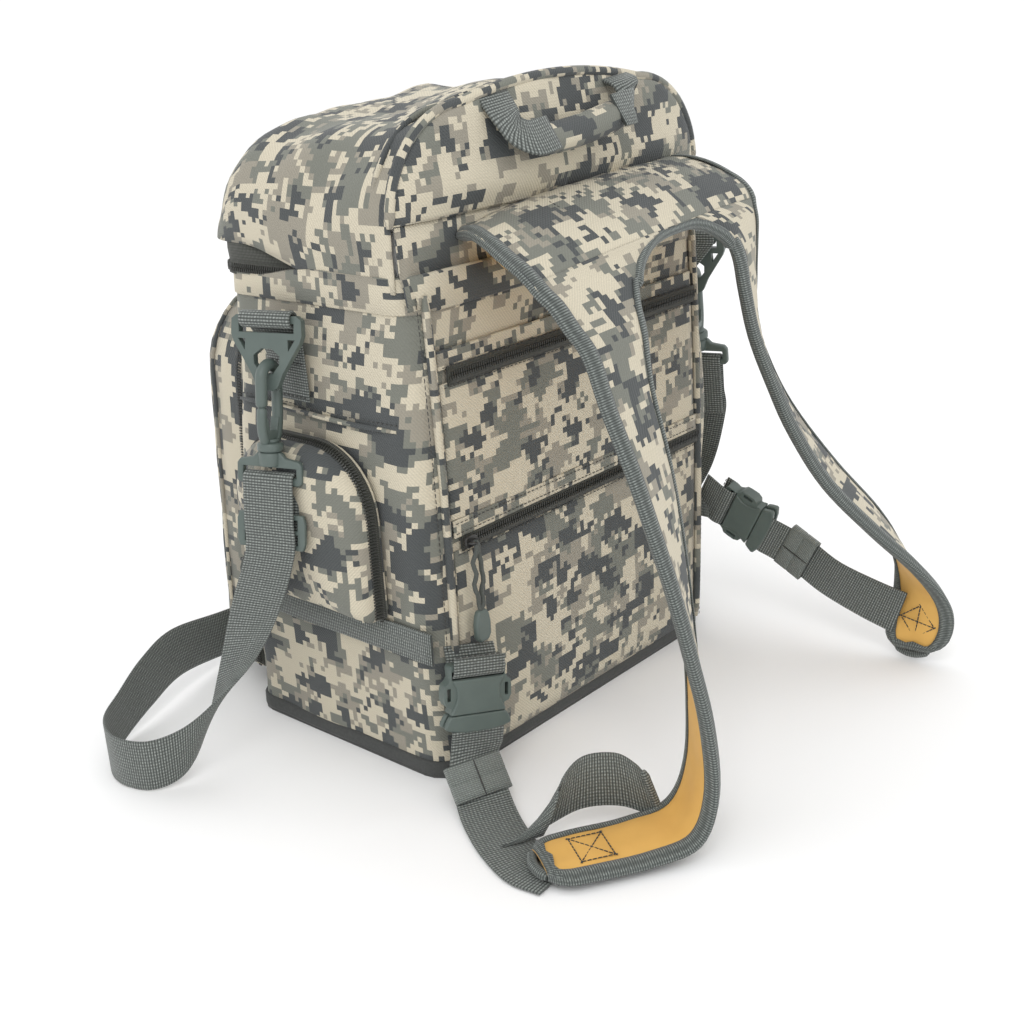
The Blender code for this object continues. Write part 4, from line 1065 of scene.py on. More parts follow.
def strap_binding(name, mine, other, normals):
    """Ribbed tape folded over one edge of a padded piece."""
    bound = PADDING * 0.62
    wrap = [(-0.0080, 1.22), (-0.0042, 1.24), (-0.0004, 1.0), (0.0013, 0.5), (0.0017, 0.0)]
    wrap = wrap + [(u, -h) for u, h in reversed(wrap[:-1])]
    verts, uvs, faces = [], [], []
    run, count, last = 0.0, len(wrap), len(mine) - 1
    for i, (a, b, n) in enumerate(zip(mine, other, normals)):
        outward = (a - b).normalized()
        if i:
            run += (a - mine[i - 1]).length
        for k, (u, h) in enumerate(wrap):
            inner = PADDING * 0.42 if u < -0.003 else 0.0
            verts.append(a + outward * u + n * math.copysign(abs(h) * bound + inner, h))
            uvs.append((run, 0.0022 * k))
    for i in range(last):
        for k in range(count - 1):
            p = i * count + k
            faces.append((p, p + 1, p + count + 1, p + count))
    made = make_piece(name, verts, faces, uvs, BINDING, "root", ())
    solid = made.modifiers.new("Solid", "SOLIDIFY")
    solid.thickness = 0.0009
    solid.offset = 0


def round_off(left, right):
    """Draws a strap's last rows in, so that its end is round."""
    last = len(left) - 1
    for back, share in ((0, 0.60), (1, 0.85), (2, 0.96)):
        i = last - back
        middle = (left[i] + right[i]) / 2
        left[i] = middle + (left[i] - middle) * share
        right[i] = middle + (right[i] - middle) * share


def end_binding(name, left, right, normal, thickness, bulge):
    """The binding carried round a strap's end."""
    out = normal.cross(right - left).normalized()
    if out.dot(bulge) < 0:
        out = -out
    points = [left.lerp(right, k / 10) + out * 0.004 * math.sin(math.pi * k / 10) for k in range(11)]
    tube(name, points, thickness * 0.56, BINDING, "root", (), sides=10, flat=1.0)


def x_box(name, middle, along, across, normal, size):
    """The stitched box with a cross that fixes a webbing to a strap's end."""
    middle = Vector(middle)
    a, b = Vector(along).normalized() * size[0] / 2, Vector(across).normalized() * size[1] / 2
    corners = [middle - a - b, middle + a - b, middle + a + b, middle - a + b]
    for k, (start, end) in enumerate(((0, 1), (1, 2), (2, 3), (3, 0), (0, 2), (1, 3))):
        route = [corners[start].lerp(corners[end], t) for t in (0, 0.33, 0.67, 1)]
        stitches("%s_%d" % (name, k), route, normal, pitch=0.0034, length=0.0029, width=0.0009)


def turned(degrees):
    return Vector((math.cos(math.radians(degrees)), math.sin(math.radians(degrees)), 0))


def harness():
    """One padded piece: a yoke sewn to the back, which divides into the two straps at the neck's arch."""
    left, right = paired([a for a, b in YOKE_ROWS], [b for a, b in YOKE_ROWS], 4)
    normals = row_normals(left, right)
    columns, left_fork, right_fork = 36, 18, 24
    rows, uvs, back_rows, back_uvs = [], [], [], []
    run = 0.0
    for i, (a, b, n) in enumerate(zip(left, right, normals)):
        if i:
            run += ((a + b - left[i - 1] - right[i - 1]) / 2).length
        row, under, uv = [], [], []
        for k in range(columns + 1):
            share = k / columns
            p = a.lerp(b, share)
            thick, crown = yoke_rise(share)
            lump = crinkle(p, 0.04, 8.0) * 0.0022 + crinkle(p, 0.014, 1.0) * 0.0008
            row.append(p + n * (thick + crown + lump))
            under.append(p + n * (crown + lump - thick))
            uv.append((2.0 + (b - a).length * share, run))
        rows.append(row)
        uvs.append(uv)
        back_rows.append(under[::-1])
        back_uvs.append(uv[::-1])
    made = sheet_of("yoke_face", rows, uvs, CAMO, 0.0008, replaced=("yoke",))
    sheet_of("yoke_backing", back_rows, back_uvs, TAN, 0.0008)
    for k in (10, 27):
        quilt = [rows[i][k].lerp(rows[i][k + 1], 0.5) + normals[i] * 0.0004 for i in (1, 5, 9, 13)]
        stitches("yoke_stitches_%d" % k, quilt, normals[8])
    seam = [rows[0][k] + Vector((0, -0.004, 0.0010)) for k in range(0, 37, 4)]
    stitches("yoke_seam_stitches", seam, (0, -0.3, 1))
    forks = [left[-1].lerp(right[-1], k / columns) for k in (left_fork, right_fork)]
    inner_edges = {}
    for name, top, strap in (("left_strap", LEFT_ROWS, LEFT_STRAP), ("right_strap", RIGHT_ROWS, RIGHT_STRAP)):
        onward = [(Vector(p) - turned(t) * w / 2, Vector(p) + turned(t) * w / 2) for p, t, w in strap]
        begin = (left[-1], forks[0]) if name == "left_strap" else (forks[1], right[-1])
        stations = [begin] + [(Vector(a), Vector(b)) for a, b in top] + onward
        edge_a, edge_b = paired([a for a, b in stations], [b for a, b in stations], 6)
        round_off(edge_a, edge_b)
        turns = row_normals(edge_a, edge_b, normals[-1])
        low, high = (0, left_fork) if name == "left_strap" else (right_fork, columns)
        span, count = (low / columns, high / columns), high - low + 1
        beginning = (2.0 + (right[-1] - left[-1]).length * span[0], run)
        strap_faces(name, edge_a, edge_b, turns, span, count, beginning, (name,))
        if name == "left_strap":
            strap_binding("left_outer_binding", left[:-1] + edge_a, right[:-1] + edge_b, normals[:-1] + turns)
            strap_binding("left_inner_binding", edge_b[13:], edge_a[13:], turns[13:])
            inner_edges["left"] = (edge_b[3:18:3], turns[3:18:3])
        else:
            strap_binding("right_outer_binding", right[:-1] + edge_b, left[:-1] + edge_a, normals[:-1] + turns)
            strap_binding("right_inner_binding", edge_a[13:], edge_b[13:], turns[13:])
            inner_edges["right"] = (edge_a[3:18:3], turns[3:18:3])
        away = edge_a[-1] - edge_a[-4]
        end_binding(name + "_end_binding", edge_a[-1], edge_b[-1], turns[-1], 0.0060, away)
        cuff = []
        for i in (-1, -2, -3):
            rise = [turns[i] * (PADDING * padded(k / 8) + 0.0011) for k in range(9)]
            cuff.append([edge_a[i].lerp(edge_b[i], k / 8) - rise[k] for k in range(9)])
        cuff[2] = [cuff[1][k].lerp(cuff[2][k], 0.5 + 0.3 * math.sin(k * 2.1)) for k in range(9)]
        cuff_uvs = [[(0.3 + 0.004 * k, 0.005 * i) for k in range(9)] for i in range(3)]
        sheet_of(name + "_cuff", cuff, cuff_uvs, BINDING, 0.0009)
    arch = []
    for side in ("left", "right"):
        half = []
        for i, (p, n) in enumerate(zip(*inner_edges[side])):
            half.append(p + n * (YOKE_CROWN * 0.8 * (1 - smooth((3 * i + 3) / 9))))
        fork = forks[0 if side == "left" else 1]
        peak = fork.lerp((forks[0] + forks[1]) / 2, 0.3) + normals[-1] * (YOKE_CROWN * 0.8)
        arch = arch + half[::-1] + [peak] if side == "left" else arch + [peak] + half
    tube("neck_arch_binding", catmull(arch, 0.003), 0.0046, BINDING, sides=12)
    x_box("left_strap_box", (-0.171, -0.2385, 0.0116), (-0.85, 0.53, 0), (0.53, 0.85, 0), (0, 0, 1), (0.022, 0.026))
    x_box("right_strap_box", (0.1919, -0.2755, 0.0330), (0, 0.6, 0.8), (0, -0.8, 0.6), (-1, -0.05, 0.1),
          (0.020, 0.020))


# Buckles and the lower webbings


def buckle_place(origin, width, pull):
    pull = Vector(pull).normalized()
    width = Vector(width)
    width = (width - pull * width.dot(pull)).normalized()
    return frame_at(origin, width, pull, width.cross(pull))


LEFT_BUCKLE = buckle_place((-0.139, -0.1185, 0.088), (1, -0.42, -0.15), (-0.19, -0.09, -0.98))
RIGHT_BUCKLE = buckle_place((0.1690, -0.1150, 0.1070), (-0.15, -0.46, 0.875), (0.14, -0.87, -0.47))


def plate(name, outline, place, near, far, material, body, replaced=(), bevel=0.0009, holes=()):
    """A moulded plate from an outline, with holes cut through it and its edges softened."""
    def solid(label, points, low, high):
        bm = bmesh.new()
        low_ring = [bm.verts.new(place @ Vector((a, b, low))) for a, b in points]
        high_ring = [bm.verts.new(place @ Vector((a, b, high))) for a, b in points]
        count = len(points)
        for k in range(count):
            bm.faces.new((low_ring[k], low_ring[(k + 1) % count], high_ring[(k + 1) % count], high_ring[k]))
        bm.faces.new(low_ring)
        bm.faces.new(high_ring)
        bmesh.ops.recalc_face_normals(bm, faces=bm.faces[:])
        mesh = bpy.data.meshes.new(label)
        bm.to_mesh(mesh)
        bm.free()
        made = bpy.data.objects.new(label, mesh)
        bpy.context.scene.collection.objects.link(made)
        return made

    made = solid(name, outline, near, far)
    made.data.materials.append(material)
    for k, hole in enumerate(holes):
        points, low, high = hole
        cutter = solid("%s_cutter_%d" % (name, k), points, low, high)
        cut = made.modifiers.new("Cut", "BOOLEAN")
        cut.operation = "DIFFERENCE"
        cut.solver = "EXACT"
        cut.object = cutter
        apply_all(made)
        bpy.data.objects.remove(cutter, do_unlink=True)
    soft = made.modifiers.new("Bevel", "BEVEL")
    soft.width = bevel
    soft.segments = 2
    soft.limit_method = "ANGLE"
    soft.angle_limit = math.radians(35)
    made.data.shade_smooth()
    made.data.set_sharp_from_angle(angle=math.radians(50))
    if body:
        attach(made, body)
    if replaced:
        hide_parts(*replaced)
    return made


def apply_all(thing):
    graph = bpy.context.evaluated_depsgraph_get()
    graph.update()
    mesh = bpy.data.meshes.new_from_object(thing.evaluated_get(graph))
    thing.modifiers.clear()
    thing.data = mesh


THROUGH = (-0.02, 0.02)


def mirrored(half):
    return half + [(-a, b) for a, b in reversed(half)]


def rect(a, b, c, d):
    return [(a, c), (b, c), (b, d), (a, d)]


def buckle(place, name):
    """A side-release buckle: its socket with windows and curved shields, and its plug with a flared foot."""
    socket = mirrored([(0.0195, -0.0026), (0.0205, -0.0005), (0.0198, 0.0060), (0.0215, 0.0088), (0.0240, 0.0108),
                       (0.0246, 0.0150), (0.0246, 0.0210), (0.0228, 0.0248), (0.0195, 0.0262), (0.0196, 0.0308),
                       (0.0100, 0.0312)])
    holes = [(rect(-0.0190, 0.0190, 0.0014, 0.0070), *THROUGH),
             (rect(-0.0186, 0.0186, 0.0125, 0.05), -0.0032, 0.0032),
             (rect(0.0198, 0.0224, 0.0125, 0.0212), *THROUGH),
             (rect(-0.0224, -0.0198, 0.0125, 0.0212), *THROUGH)]
    plate(name + "_socket_body", socket, place, -0.0048, 0.0048, PLASTIC, "root", (name + "_buckle_socket",),
          0.0014, holes)
    shield = mirrored([(0.0188, 0.0072), (0.0178, 0.0095), (0.0158, 0.0135), (0.0154, 0.0185), (0.0168, 0.0235),
                       (0.0196, 0.0290), (0.0203, 0.0312)])
    plug_body = name + "_buckle_plug"
    prongs = mirrored([(0.0030, 0.0140), (0.0060, 0.0240), (0.0110, 0.0240), (0.0125, 0.0152), (0.0180, 0.0150),
                       (0.0183, 0.0240), (0.0178, 0.0300), (0.0185, 0.0330), (0.0120, 0.0340)])
    plate(name + "_plug_body", prongs, place, -0.0028, 0.0028, PLASTIC, plug_body, (plug_body,), 0.0008)
    foot = mirrored([(0.0204, 0.0316), (0.0222, 0.0345), (0.0240, 0.0385), (0.0237, 0.0405), (0.0180, 0.0424),
                     (0.0090, 0.0437)])
    for n, label in ((-1, "in"), (1, "out")):
        near, far = sorted((n * 0.0040, n * 0.0062))
        plate("%s_socket_shield_%s" % (name, label), shield, place, near, far, PLASTIC, "root", (), 0.0010)
        near, far = sorted((n * 0.0016, n * 0.0062))
        plate("%s_plug_foot_%s" % (name, label), foot, place, near, far, PLASTIC, plug_body, (), 0.0010)


def loop_route(place, points):
    return [place @ Vector((0, v, n)) for v, n in points]


def buckle_tab(place, name, foot, inner):
    across = width_of(place)
    loop = [(-0.005, 0.0066), (0.0014, 0.0068), (0.0050, 0.0046), (0.0060, 0.0), (0.0050, -0.0046),
            (0.0014, -0.0068), (-0.008, -0.0068)]
    route = [Vector(foot)] + loop_route(place, [(v, n * inner) for v, n in loop])
    stations = [(p, across, WEBBING_WIDTH - 0.001) for p in route]
    left, right = edges_of(stations, 0.0035)
    ribbon(name + "_buckle_tab_webbing", left, right, flat_section(0.0015), WEB, replaced=(name + "_buckle_tab",))
    n = place.to_3x3() @ Vector((0, 0, -inner))
    outer = place @ Vector((0, -0.009, -0.0068 * inner)) + n * 0.001
    stitches(name + "_tab_stitches", [outer - across * 0.016, outer, outer + across * 0.016], n)


def lower_webbings():
    across = width_of(LEFT_BUCKLE)
    width = WEBBING_WIDTH
    main = [
        (LEFT_BUCKLE @ Vector((0, 0.0382, 0.0012)), across, width),
        (LEFT_BUCKLE @ Vector((0, 0.0420, -0.0044)), across, width),
        (LEFT_BUCKLE @ Vector((0, 0.0530, -0.0030)), across, width),
        (Vector((-0.1560, -0.1280, 0.0240)), Vector((0.97, -0.30, 0)), width),
        (Vector((-0.1640, -0.1410, 0.0075)), Vector((0.90, -0.42, 0.02)), width),
        (Vector((-0.1770, -0.1610, 0.0022)), Vector((0.84, -0.54, 0)), width),
        (Vector((-0.1920, -0.1880, 0.0018)), Vector((0.88, -0.45, 0)), width),
        (Vector((-0.2010, -0.2130, 0.0018)), Vector((0.98, -0.15, 0)), width),
        (Vector((-0.1990, -0.2330, 0.0018)), Vector((1.0, 0.10, 0)), width),
    ]
    made = webbing_strap("left_lower_webbing", main, None, ("left_harness_webbing",), 0.0045)
    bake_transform(made)
    tail = [
        (Vector((-0.1880, -0.1900, 0.0035)), Vector((0.80, -0.60, 0.15)), width),
        (Vector((-0.1800, -0.1960, 0.0120)), Vector((0.62, -0.55, 0.50)), width),
        (Vector((-0.1650, -0.2030, 0.0260)), Vector((0.30, -0.25, 0.90)), width),
        (Vector((-0.1460, -0.2120, 0.0350)), Vector((0.06, -0.05, 1.0)), width),
        (Vector((-0.1290, -0.2270, 0.0345)), Vector((0.0, 0.05, 1.0)), width),
        (Vector((-0.1210, -0.2400, 0.0285)), Vector((-0.10, 0.18, 1.0)), width),
        (Vector((-0.1160, -0.2460, 0.0225)), Vector((-0.20, 0.25, 1.0)), width),
    ]
    webbing_strap("left_webbing_tail", tail, "root", (), 0.0045)
    end, across = tail[-1][0], tail[-1][1].normalized()
    hem = [end - across * 0.0195, end, end + across * 0.0195]
    tube("left_tail_hem", catmull(hem, 0.004), 0.0028, WEB)
    keeper("left_keeper", Vector((-0.1590, -0.1330, 0.0165)), (0.95, -0.34, 0.01), (-0.42, -0.52, -0.74))
    across = width_of(RIGHT_BUCKLE)
    right = [
        (RIGHT_BUCKLE @ Vector((0, 0.0382, 0.0012)), across, width),
        (RIGHT_BUCKLE @ Vector((0, 0.0420, -0.0044)), across, width),
        (RIGHT_BUCKLE @ Vector((0, 0.0530, -0.0030)), across, width),
        (Vector((0.1790, -0.1800, 0.0720)), across, width),
        (Vector((0.1800, -0.2060, 0.0580)), across, width),
        (Vector((0.1850, -0.2360, 0.0460)), Vector((-0.06, -0.42, 0.90)), width),
        (Vector((0.1890, -0.2620, 0.0380)), Vector((0, -0.30, 0.95)), width),
    ]
    made = webbing_strap("right_lower_webbing", right, None, ("right_harness_webbing",), 0.0045)
    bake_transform(made)
    keeper("right_keeper", Vector((0.1785, -0.1770, 0.0735)), across, (0.05, -0.87, -0.48))


def keeper(name, middle, across, along):
    """The elastic loop that holds a webbing's two layers together."""
    across = Vector(across).normalized()
    along = Vector(along)
    along = (along - across * along.dot(across)).normalized()
    normal = across.cross(along).normalized()
    half_w, half_n = WEBBING_WIDTH / 2 + 0.0016, 0.0034
    edge = half_w - 0.001
    profile = [(-half_w, 0), (-edge, half_n), (0, half_n + 0.0005), (edge, half_n), (half_w, 0),
               (edge, -half_n), (0, -half_n), (-edge, -half_n), (-half_w, 0)]
    rows, uvs = [], []
    for v in (-0.0125, -0.008, -0.0008, 0.0, 0.0008, 0.008, 0.0125):
        dip = 0.0006 if v == 0 else 0.0
        rows.append([middle + across * u + normal * (n - math.copysign(dip, n)) + along * v for u, n in profile])
        uvs.append([(v + 0.02, u) for u, n in profile])
    made = sheet_of(name, rows, uvs, ELASTIC, 0.0010, None)
    made.modifiers["Solid"].offset = 0
    pieces = [made]
    for side, label in ((-1, "under"), (1, "over")):
        lift = normal * side * (half_n + 0.0008)
        seam = [middle + lift + along * v for v in (-0.0122, -0.006, 0, 0.006, 0.0122)]
        pieces.append(tube("%s_seam_%s" % (name, label), seam, 0.0006, THREAD, None, sides=6))
    for made in pieces:
        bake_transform(made)


# Rings, hooks and the shoulder strap


LEFT_RING = Vector((-0.178, 0.008, 0.318))
RIGHT_RING = Vector((0.182, -0.076, 0.318))
RING_LEAN = math.radians(10.5)
RING_YAW = math.radians(18)


def ring_place(origin, side):
    bar = Vector((math.sin(RING_YAW), -math.cos(RING_YAW), 0))
    up = Vector((-side * math.sin(RING_LEAN), 0, math.cos(RING_LEAN)))
    up = (up - bar * up.dot(bar)).normalized()
    return frame_at(origin, bar, up, bar.cross(up) * -side)


def cylinder_piece(name, place, radius, low, high, body):
    """A moulded pin along its place's second axis, with its two rims bevelled."""
    bevel = 0.0008
    verts, faces = [], []
    rings = [(low, radius - bevel), (low + bevel, radius), (high - bevel, radius), (high, radius - bevel)]
    for v, r in rings:
        for k in range(20):
            t = 2 * math.pi * k / 20
            verts.append(place @ Vector((r * math.cos(t), v, r * math.sin(t))))
    for j in range(3):
        for k in range(20):
            a, b = j * 20 + k, j * 20 + (k + 1) % 20
            faces.append((a, b, b + 20, a + 20))
    faces.append(tuple(range(20))[::-1])
    faces.append(tuple(60 + k for k in range(20)))
    made = make_piece(name, verts, faces, [], PLASTIC, body, ())
    made.data.set_sharp_from_angle(angle=math.radians(50))
    return made


def hook_set(origin, side, name, sewn_y):
    place = ring_place(origin, side)
    ring = mirrored([(0.0225, 0.0026), (0.0262, 0.0000), (0.0268, -0.0100), (0.0250, -0.0148), (0.0120, -0.0350),
                     (0.0080, -0.0440), (0.0045, -0.0462)])
    window = mirrored([(0.0040, -0.0190), (0.0098, -0.0235), (0.0095, -0.0290), (0.0045, -0.0352)])
    corners = [[(0.0160, -0.0128), (0.0215, -0.0128), (0.0165, -0.0200)],
               [(-0.0215, -0.0128), (-0.0160, -0.0128), (-0.0165, -0.0200)]]
    holes = [(rect(-0.0208, 0.0208, -0.0086, -0.0022), *THROUGH), (window, *THROUGH)]
    holes += [(corner, *THROUGH) for corner in corners]
    plate(name + "_ring_body", ring, place, -0.0026, 0.0026, PLASTIC, name + "_ring", (name + "_ring",), 0.0011, holes)
    body = name + "_hook"
    turns = [math.radians(15 * k) for k in range(13)]
    crook = [(0.0092 * math.cos(turn), -0.0385 + 0.0092 * math.sin(turn)) for turn in turns]
    loop = [(0.0030, -0.0835), (0.0072, -0.0770), (0.0092, -0.0680), (0.0094, -0.0530)] + crook
    loop += [(-0.0092, -0.0500), (-0.0092, -0.0570)]
    path = catmull([place @ Vector((0, v, n * side)) for n, v in loop], 0.0025)
    tube(body + "_crook", path, 0.0040, PLASTIC, body, (body,), sides=14, flat=0.92)
    gate = [(-0.0088, -0.0560), (-0.0094, -0.0660), (-0.0080, -0.0750), (-0.0035, -0.0820)]
    path = catmull([place @ Vector((0, v, n * side)) for n, v in gate], 0.0025)
    tube(body + "_gate", path, 0.0034, PLASTIC, body, (), sides=12)
    web = [(-0.0030, -0.0820), (-0.0078, -0.0735), (-0.0080, -0.0640), (-0.0058, -0.0640), (-0.0040, -0.0725),
           (0.0040, -0.0725), (0.0058, -0.0640), (0.0078, -0.0640), (0.0075, -0.0740), (0.0030, -0.0820)]
    turned_place = place @ Matrix.Rotation(math.radians(90), 4, "Y")
    plate(body + "_web", web, turned_place, -0.0030, 0.0030, PLASTIC, body, (), 0.0007)
    cylinder_piece(body + "_collar", place, 0.0086, -0.0864, -0.0806, body)
    cylinder_piece(body + "_neck", place, 0.0060, -0.0810, -0.0780, body)
    base_body = name + "_hook_base"
    base = mirrored([(0.0085, -0.0868), (0.0120, -0.0905), (0.0225, -0.0922), (0.0248, -0.0950), (0.0250, -0.1060),
                     (0.0225, -0.1085)])
    plate(base_body + "_frame", base, place, -0.0024, 0.0024, PLASTIC, base_body, (base_body,), 0.0010,
          [(rect(-0.0205, 0.0205, -0.1032, -0.0970), *THROUGH)])
    cylinder_piece(base_body + "_barrel", place, 0.0078, -0.0962, -0.0868, base_body)
    wall = side * (HALF_WIDTH + 0.0012)
    sides = [Vector((0, -1, 0))] * 3
    bar = width_of(place)
    route = [Vector((wall, sewn_y, 0.260)), Vector((wall, sewn_y, 0.275))]
    route.append(Vector((wall + side * 0.0006, sewn_y, 0.290)))
    route.append((route[-1] + place @ Vector((0, -0.004, -0.0075))) / 2)
    sides.append((sides[0] + bar) / 2)
    route.append(place @ Vector((0, -0.004, -0.0070)))
    sides.append(bar)
    for degrees in (160, 120, 80, 40, 0, -40, -80, -110):
        turn = math.radians(degrees)
        route.append(place @ Vector((0, 0.0050 * math.sin(turn), 0.0050 * math.cos(turn))))
        sides.append(bar)
    left, right = edges_of([(p, s, 0.0385) for p, s in zip(route, sides)], 0.004)
    ribbon(name + "_ring_tab_webbing", left, right, flat_section(0.0016), WEB, "root", (name + "_ring_tab",))
    front = Vector((wall + side * 0.0012, sewn_y, 0.266))
    for k, dz in enumerate((-0.003, 0.020)):
        line = [front + Vector((0, y, dz)) for y in (-0.016, 0.0, 0.016)]
        stitches("%s_ring_tab_stitches_%d" % (name, k), line, (side, 0, 0))


def strap_over_base(origin, side):
    place = ring_place(origin, side)
    bar = width_of(place)
    section = [(-0.0034, -0.152), (-0.0036, -0.132), (-0.0042, -0.112), (-0.0043, -0.105)]
    section += [(-0.0031, -0.1019), (0.0, -0.1006), (0.0031, -0.1019)]
    section += [(0.0043, -0.105), (0.0042, -0.112), (0.0038, -0.132), (0.0036, -0.156)]
    return [(place @ Vector((0, v, n)), bar, WEBBING_WIDTH) for n, v in section]


STRAP_ROUTE = [
    ((-0.2145, 0.012, 0.125), (0.31, -0.95, 0.0)),
    ((-0.226, 0.026, 0.082), (0.20, -0.80, 0.40)),
    ((-0.243, 0.038, 0.048), (0.05, -0.50, 0.80)),
    ((-0.264, 0.046, 0.027), (0.0, -0.15, 1.0)),
    ((-0.285, 0.060, 0.0200), (0.0, 0.0, 1.0)),
    ((-0.293, 0.088, 0.0195), (0.0, 0.0, 1.0)),
    ((-0.281, 0.116, 0.0195), (0.0, 0.0, 1.0)),
    ((-0.255, 0.136, 0.0215), (0.0, 0.0, 1.0)),
    ((-0.220, 0.152, 0.030), (0.0, 0.15, 1.0)),
    ((-0.180, 0.168, 0.034), (0.0, 0.15, 1.0)),
    ((-0.125, 0.180, 0.026), (0.0, 0.0, 1.0)),
    ((-0.060, 0.186, 0.0195), (0.0, 0.0, 1.0)),
    ((0.060, 0.186, 0.0195), (0.0, 0.0, 1.0)),
    ((0.130, 0.176, 0.0195), (0.0, 0.0, 1.0)),
    ((0.185, 0.146, 0.0195), (0.0, 0.0, 1.0)),
    ((0.215, 0.096, 0.022), (0.0, 0.0, 1.0)),
    ((0.226, 0.040, 0.036), (0.0, 0.30, 1.0)),
    ((0.224, -0.010, 0.068), (0.0, 0.80, 0.60)),
    ((0.218, -0.050, 0.115), (0.10, 1.0, 0.20)),
]


def shoulder_strap():
    """Two stretches of one webbing that meet behind the bag."""
    middle = 12
    stations = [(Vector(p), Vector(s), WEBBING_WIDTH) for p, s in STRAP_ROUTE]
    left = strap_over_base(LEFT_RING, -1) + stations[:middle + 1]
    right = [(p, -s, w) for p, s, w in strap_over_base(RIGHT_RING, 1)]
    right = stations[middle:] + right[::-1]
    halves = (("left", left, LEFT_RING, -1, ("shoulder_strap",)), ("right", right, RIGHT_RING, 1, ()))
    for name, route, origin, side, used in halves:
        made = webbing_strap("shoulder_strap_" + name, route, None, used, 0.005)
        place = ring_place(origin, side)
        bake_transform(made)
    place = ring_place(LEFT_RING, -1)
    outline = mirrored([(0.0245, -0.1280), (0.0262, -0.1330), (0.0262, -0.1470), (0.0245, -0.1520)])
    holes = [(rect(-0.0205, 0.0205, low, low + 0.0070), *THROUGH) for low in (-0.1385, -0.1485)]
    made = plate("strap_adjuster", outline, place, -0.0016, 0.0018, PLASTIC, None, ("strap_triglide",), 0.0007, holes)
    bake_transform(made)


# Sliders and pullers


def slider_set(name, seat, out, along):
    seat, out, along = Vector(seat), Vector(out).normalized(), Vector(along).normalized()
    place = frame_at(seat, along, out.cross(along), out)
    outline = [(-0.0056, -0.0024), (-0.0030, -0.0042), (0.0028, -0.0042), (0.0056, -0.0026), (0.0064, 0.0),
               (0.0056, 0.0026), (0.0028, 0.0042), (-0.0030, 0.0042), (-0.0056, 0.0024)]
    slider = name + "_slider"
    made = plate(slider + "_body", outline, place, 0.0004, 0.0037, DARK_METAL, slider, (slider,), 0.0006)
    down = Vector((0, 0, -1))
    level = down.cross(out).normalized()
    pin, foot = seat + out * 0.0076, seat + out * 0.0028
    bar = [foot - along * 0.004, foot - along * 0.0034 + out * 0.003, pin - along * 0.0012 + out * 0.0006,
           pin + along * 0.0012 + out * 0.0006, foot + along * 0.0034 + out * 0.003, foot + along * 0.004]
    if abs(along.dot(level)) < 0.5:
        bar = [foot - level * 0.0030, pin - level * 0.0030, pin + level * 0.0030, foot + level * 0.0030]
    tube(slider + "_bridge", catmull(bar, 0.0015), 0.0009, DARK_METAL, slider, ())
    body = name + "_puller"
    for k, sign in enumerate((-1, 1)):
        path = []
        for j in range(15):
            t = j / 14
            swing = 0.0036 * math.sin(math.pi * min(1.0, t * 1.03)) + 0.0008 * math.sin(t * 17 + k * math.pi)
            v = -0.0018 + 0.0535 * t
            path.append(pin + down * v + level * sign * swing + out * 0.0010 * math.cos(t * 22 + k * math.pi))
        tube("%s_cord_%d" % (body, k), path, 0.0016, CORD, body, (body,) if k == 0 else ())
    tip_place = frame_at(pin, level, down, level.cross(down))
    tip = mirrored([(0.0034, 0.0480), (0.0056, 0.0515), (0.0068, 0.0580), (0.0066, 0.0670), (0.0040, 0.0708)])
    made = plate(body + "_tip", tip, tip_place, -0.0025, 0.0025, PLASTIC, body, (), 0.0014)


def sliders():
    up = Vector((0, 0, 1))
    for name, x, z in (("back_lower", -0.127, 0.172), ("back_upper", 0.030, 0.284)):
        slider_set(name, (x, back_wall_y(z) - 0.0033, z), (0, -1, 0), (1, 0, 0))
    slider_set("lid", (HALF_WIDTH - BARREL - 0.00175, 0.042, 0.344), (1, 0, 0), (0, 1, 0))
    slider_set("left_pocket", (-(HALF_WIDTH + 0.0095), 0.065, 0.134), (0, 1, 0), up)
    slider_set("right_pocket", (HALF_WIDTH + 0.0095, 0.065, 0.134), (0, 1, 0), up)
    slider_set("front_pocket", FRONT_PLACE @ Vector((-0.141, 0.115, 0.012)), (-1, 0, 0), FRONT_UP)


# Inside


def inside():
    for name in ("foam_back", "foam_front", "foam_left", "foam_right", "foam_base"):
        give(name, FOAM)
    give("liner", LINING)
    give("lid_lining", LINING)


# Stage, light and camera


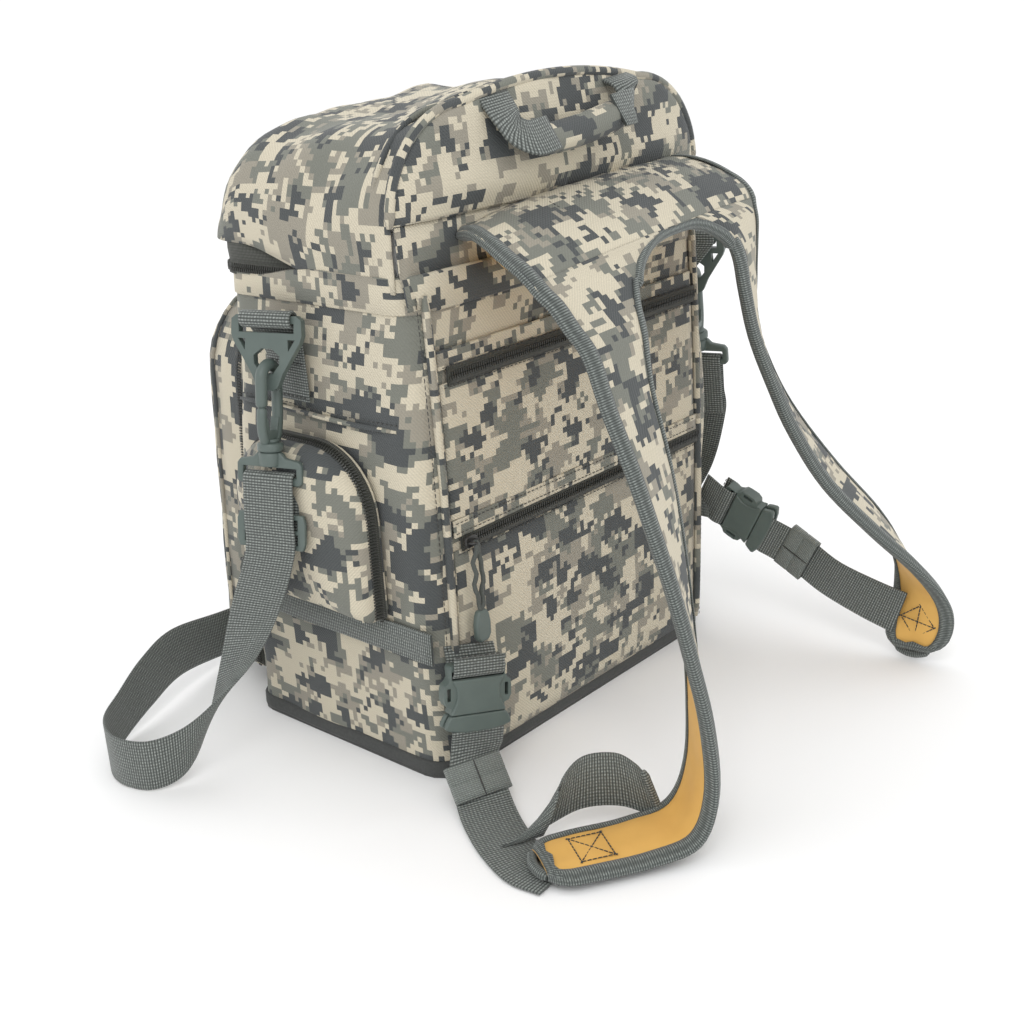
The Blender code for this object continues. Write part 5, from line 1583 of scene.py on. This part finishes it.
def studio():
    bpy.ops.mesh.primitive_plane_add(size=60, location=(0, 0, -0.0002))
    floor = bpy.context.object
    floor.name = "studio_floor"
    material, _, shader = new_material("pale_floor", 0.9)
    shader.inputs["Base Color"].default_value = (0.94, 0.94, 0.94, 1)
    floor.data.materials.append(material)
    world = bpy.data.worlds.new("pale_world")
    world.use_nodes = True
    world.node_tree.nodes["Background"].inputs["Color"].default_value = (1, 1, 1, 1)
    world.node_tree.nodes["Background"].inputs["Strength"].default_value = 1.08
    bpy.context.scene.world = world
    bpy.context.scene.view_settings.view_transform = "Standard"
    lights = (("key_light", (-1.3, -1.1, 2.0), 1.2, 12), ("fill_light", (1.4, -1.6, 1.2), 1.4, 2),
              ("back_light", (0.2, 1.8, 1.8), 1.6, 5))
    for name, at, size, power in lights:
        light = bpy.data.lights.new(name, "AREA")
        light.size = size
        light.energy = power
        lamp = bpy.data.objects.new(name, light)
        lamp.location = at
        lamp.rotation_euler = (Vector((0, 0, 0.2)) - Vector(at)).to_track_quat("-Z", "Y").to_euler()
        bpy.context.scene.collection.objects.link(lamp)


def camera():
    ahead = (CAMERA_TARGET - CAMERA_AT).normalized()
    right = ahead.cross(Vector((0, 0, 1))).normalized()
    up = right.cross(ahead)
    rolled_right = right * math.cos(CAMERA_ROLL) + up * math.sin(CAMERA_ROLL)
    rolled_up = up * math.cos(CAMERA_ROLL) - right * math.sin(CAMERA_ROLL)
    turn = Matrix((rolled_right, rolled_up, -ahead)).transposed().to_4x4()
    lens = bpy.data.cameras.new("photo_camera")
    lens.lens = LENS_MM
    lens.sensor_width = 36
    made = bpy.data.objects.new("photo_camera", lens)
    made.matrix_world = Matrix.Translation(CAMERA_AT) @ turn
    bpy.context.scene.collection.objects.link(made)
    bpy.context.scene.camera = made


def main():
    camera()
    shoulder_strap()
    body_wall()
    harness_side()
    lid_cover()
    lid_back()
    lid_handle()
    lid_zip()
    for side, name in ((-1, "left"), (1, "right")):
        side_details(side, name)
    front_pocket()
    harness()
    buckles = (("left", LEFT_BUCKLE, (-0.134, -0.1085, 0.0995), 1),
               ("right", RIGHT_BUCKLE, (0.1625, -0.0965, 0.116), -1))
    for name, place, foot, inner in buckles:
        buckle(place, name)
        buckle_tab(place, name, foot, inner)
    lower_webbings()
    for origin, side, name, sewn_y in ((LEFT_RING, -1, "left", 0.012), (RIGHT_RING, 1, "right", -0.066)):
        hook_set(origin, side, name, sewn_y)
    sliders()
    inside()
    studio()
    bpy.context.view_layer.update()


main()
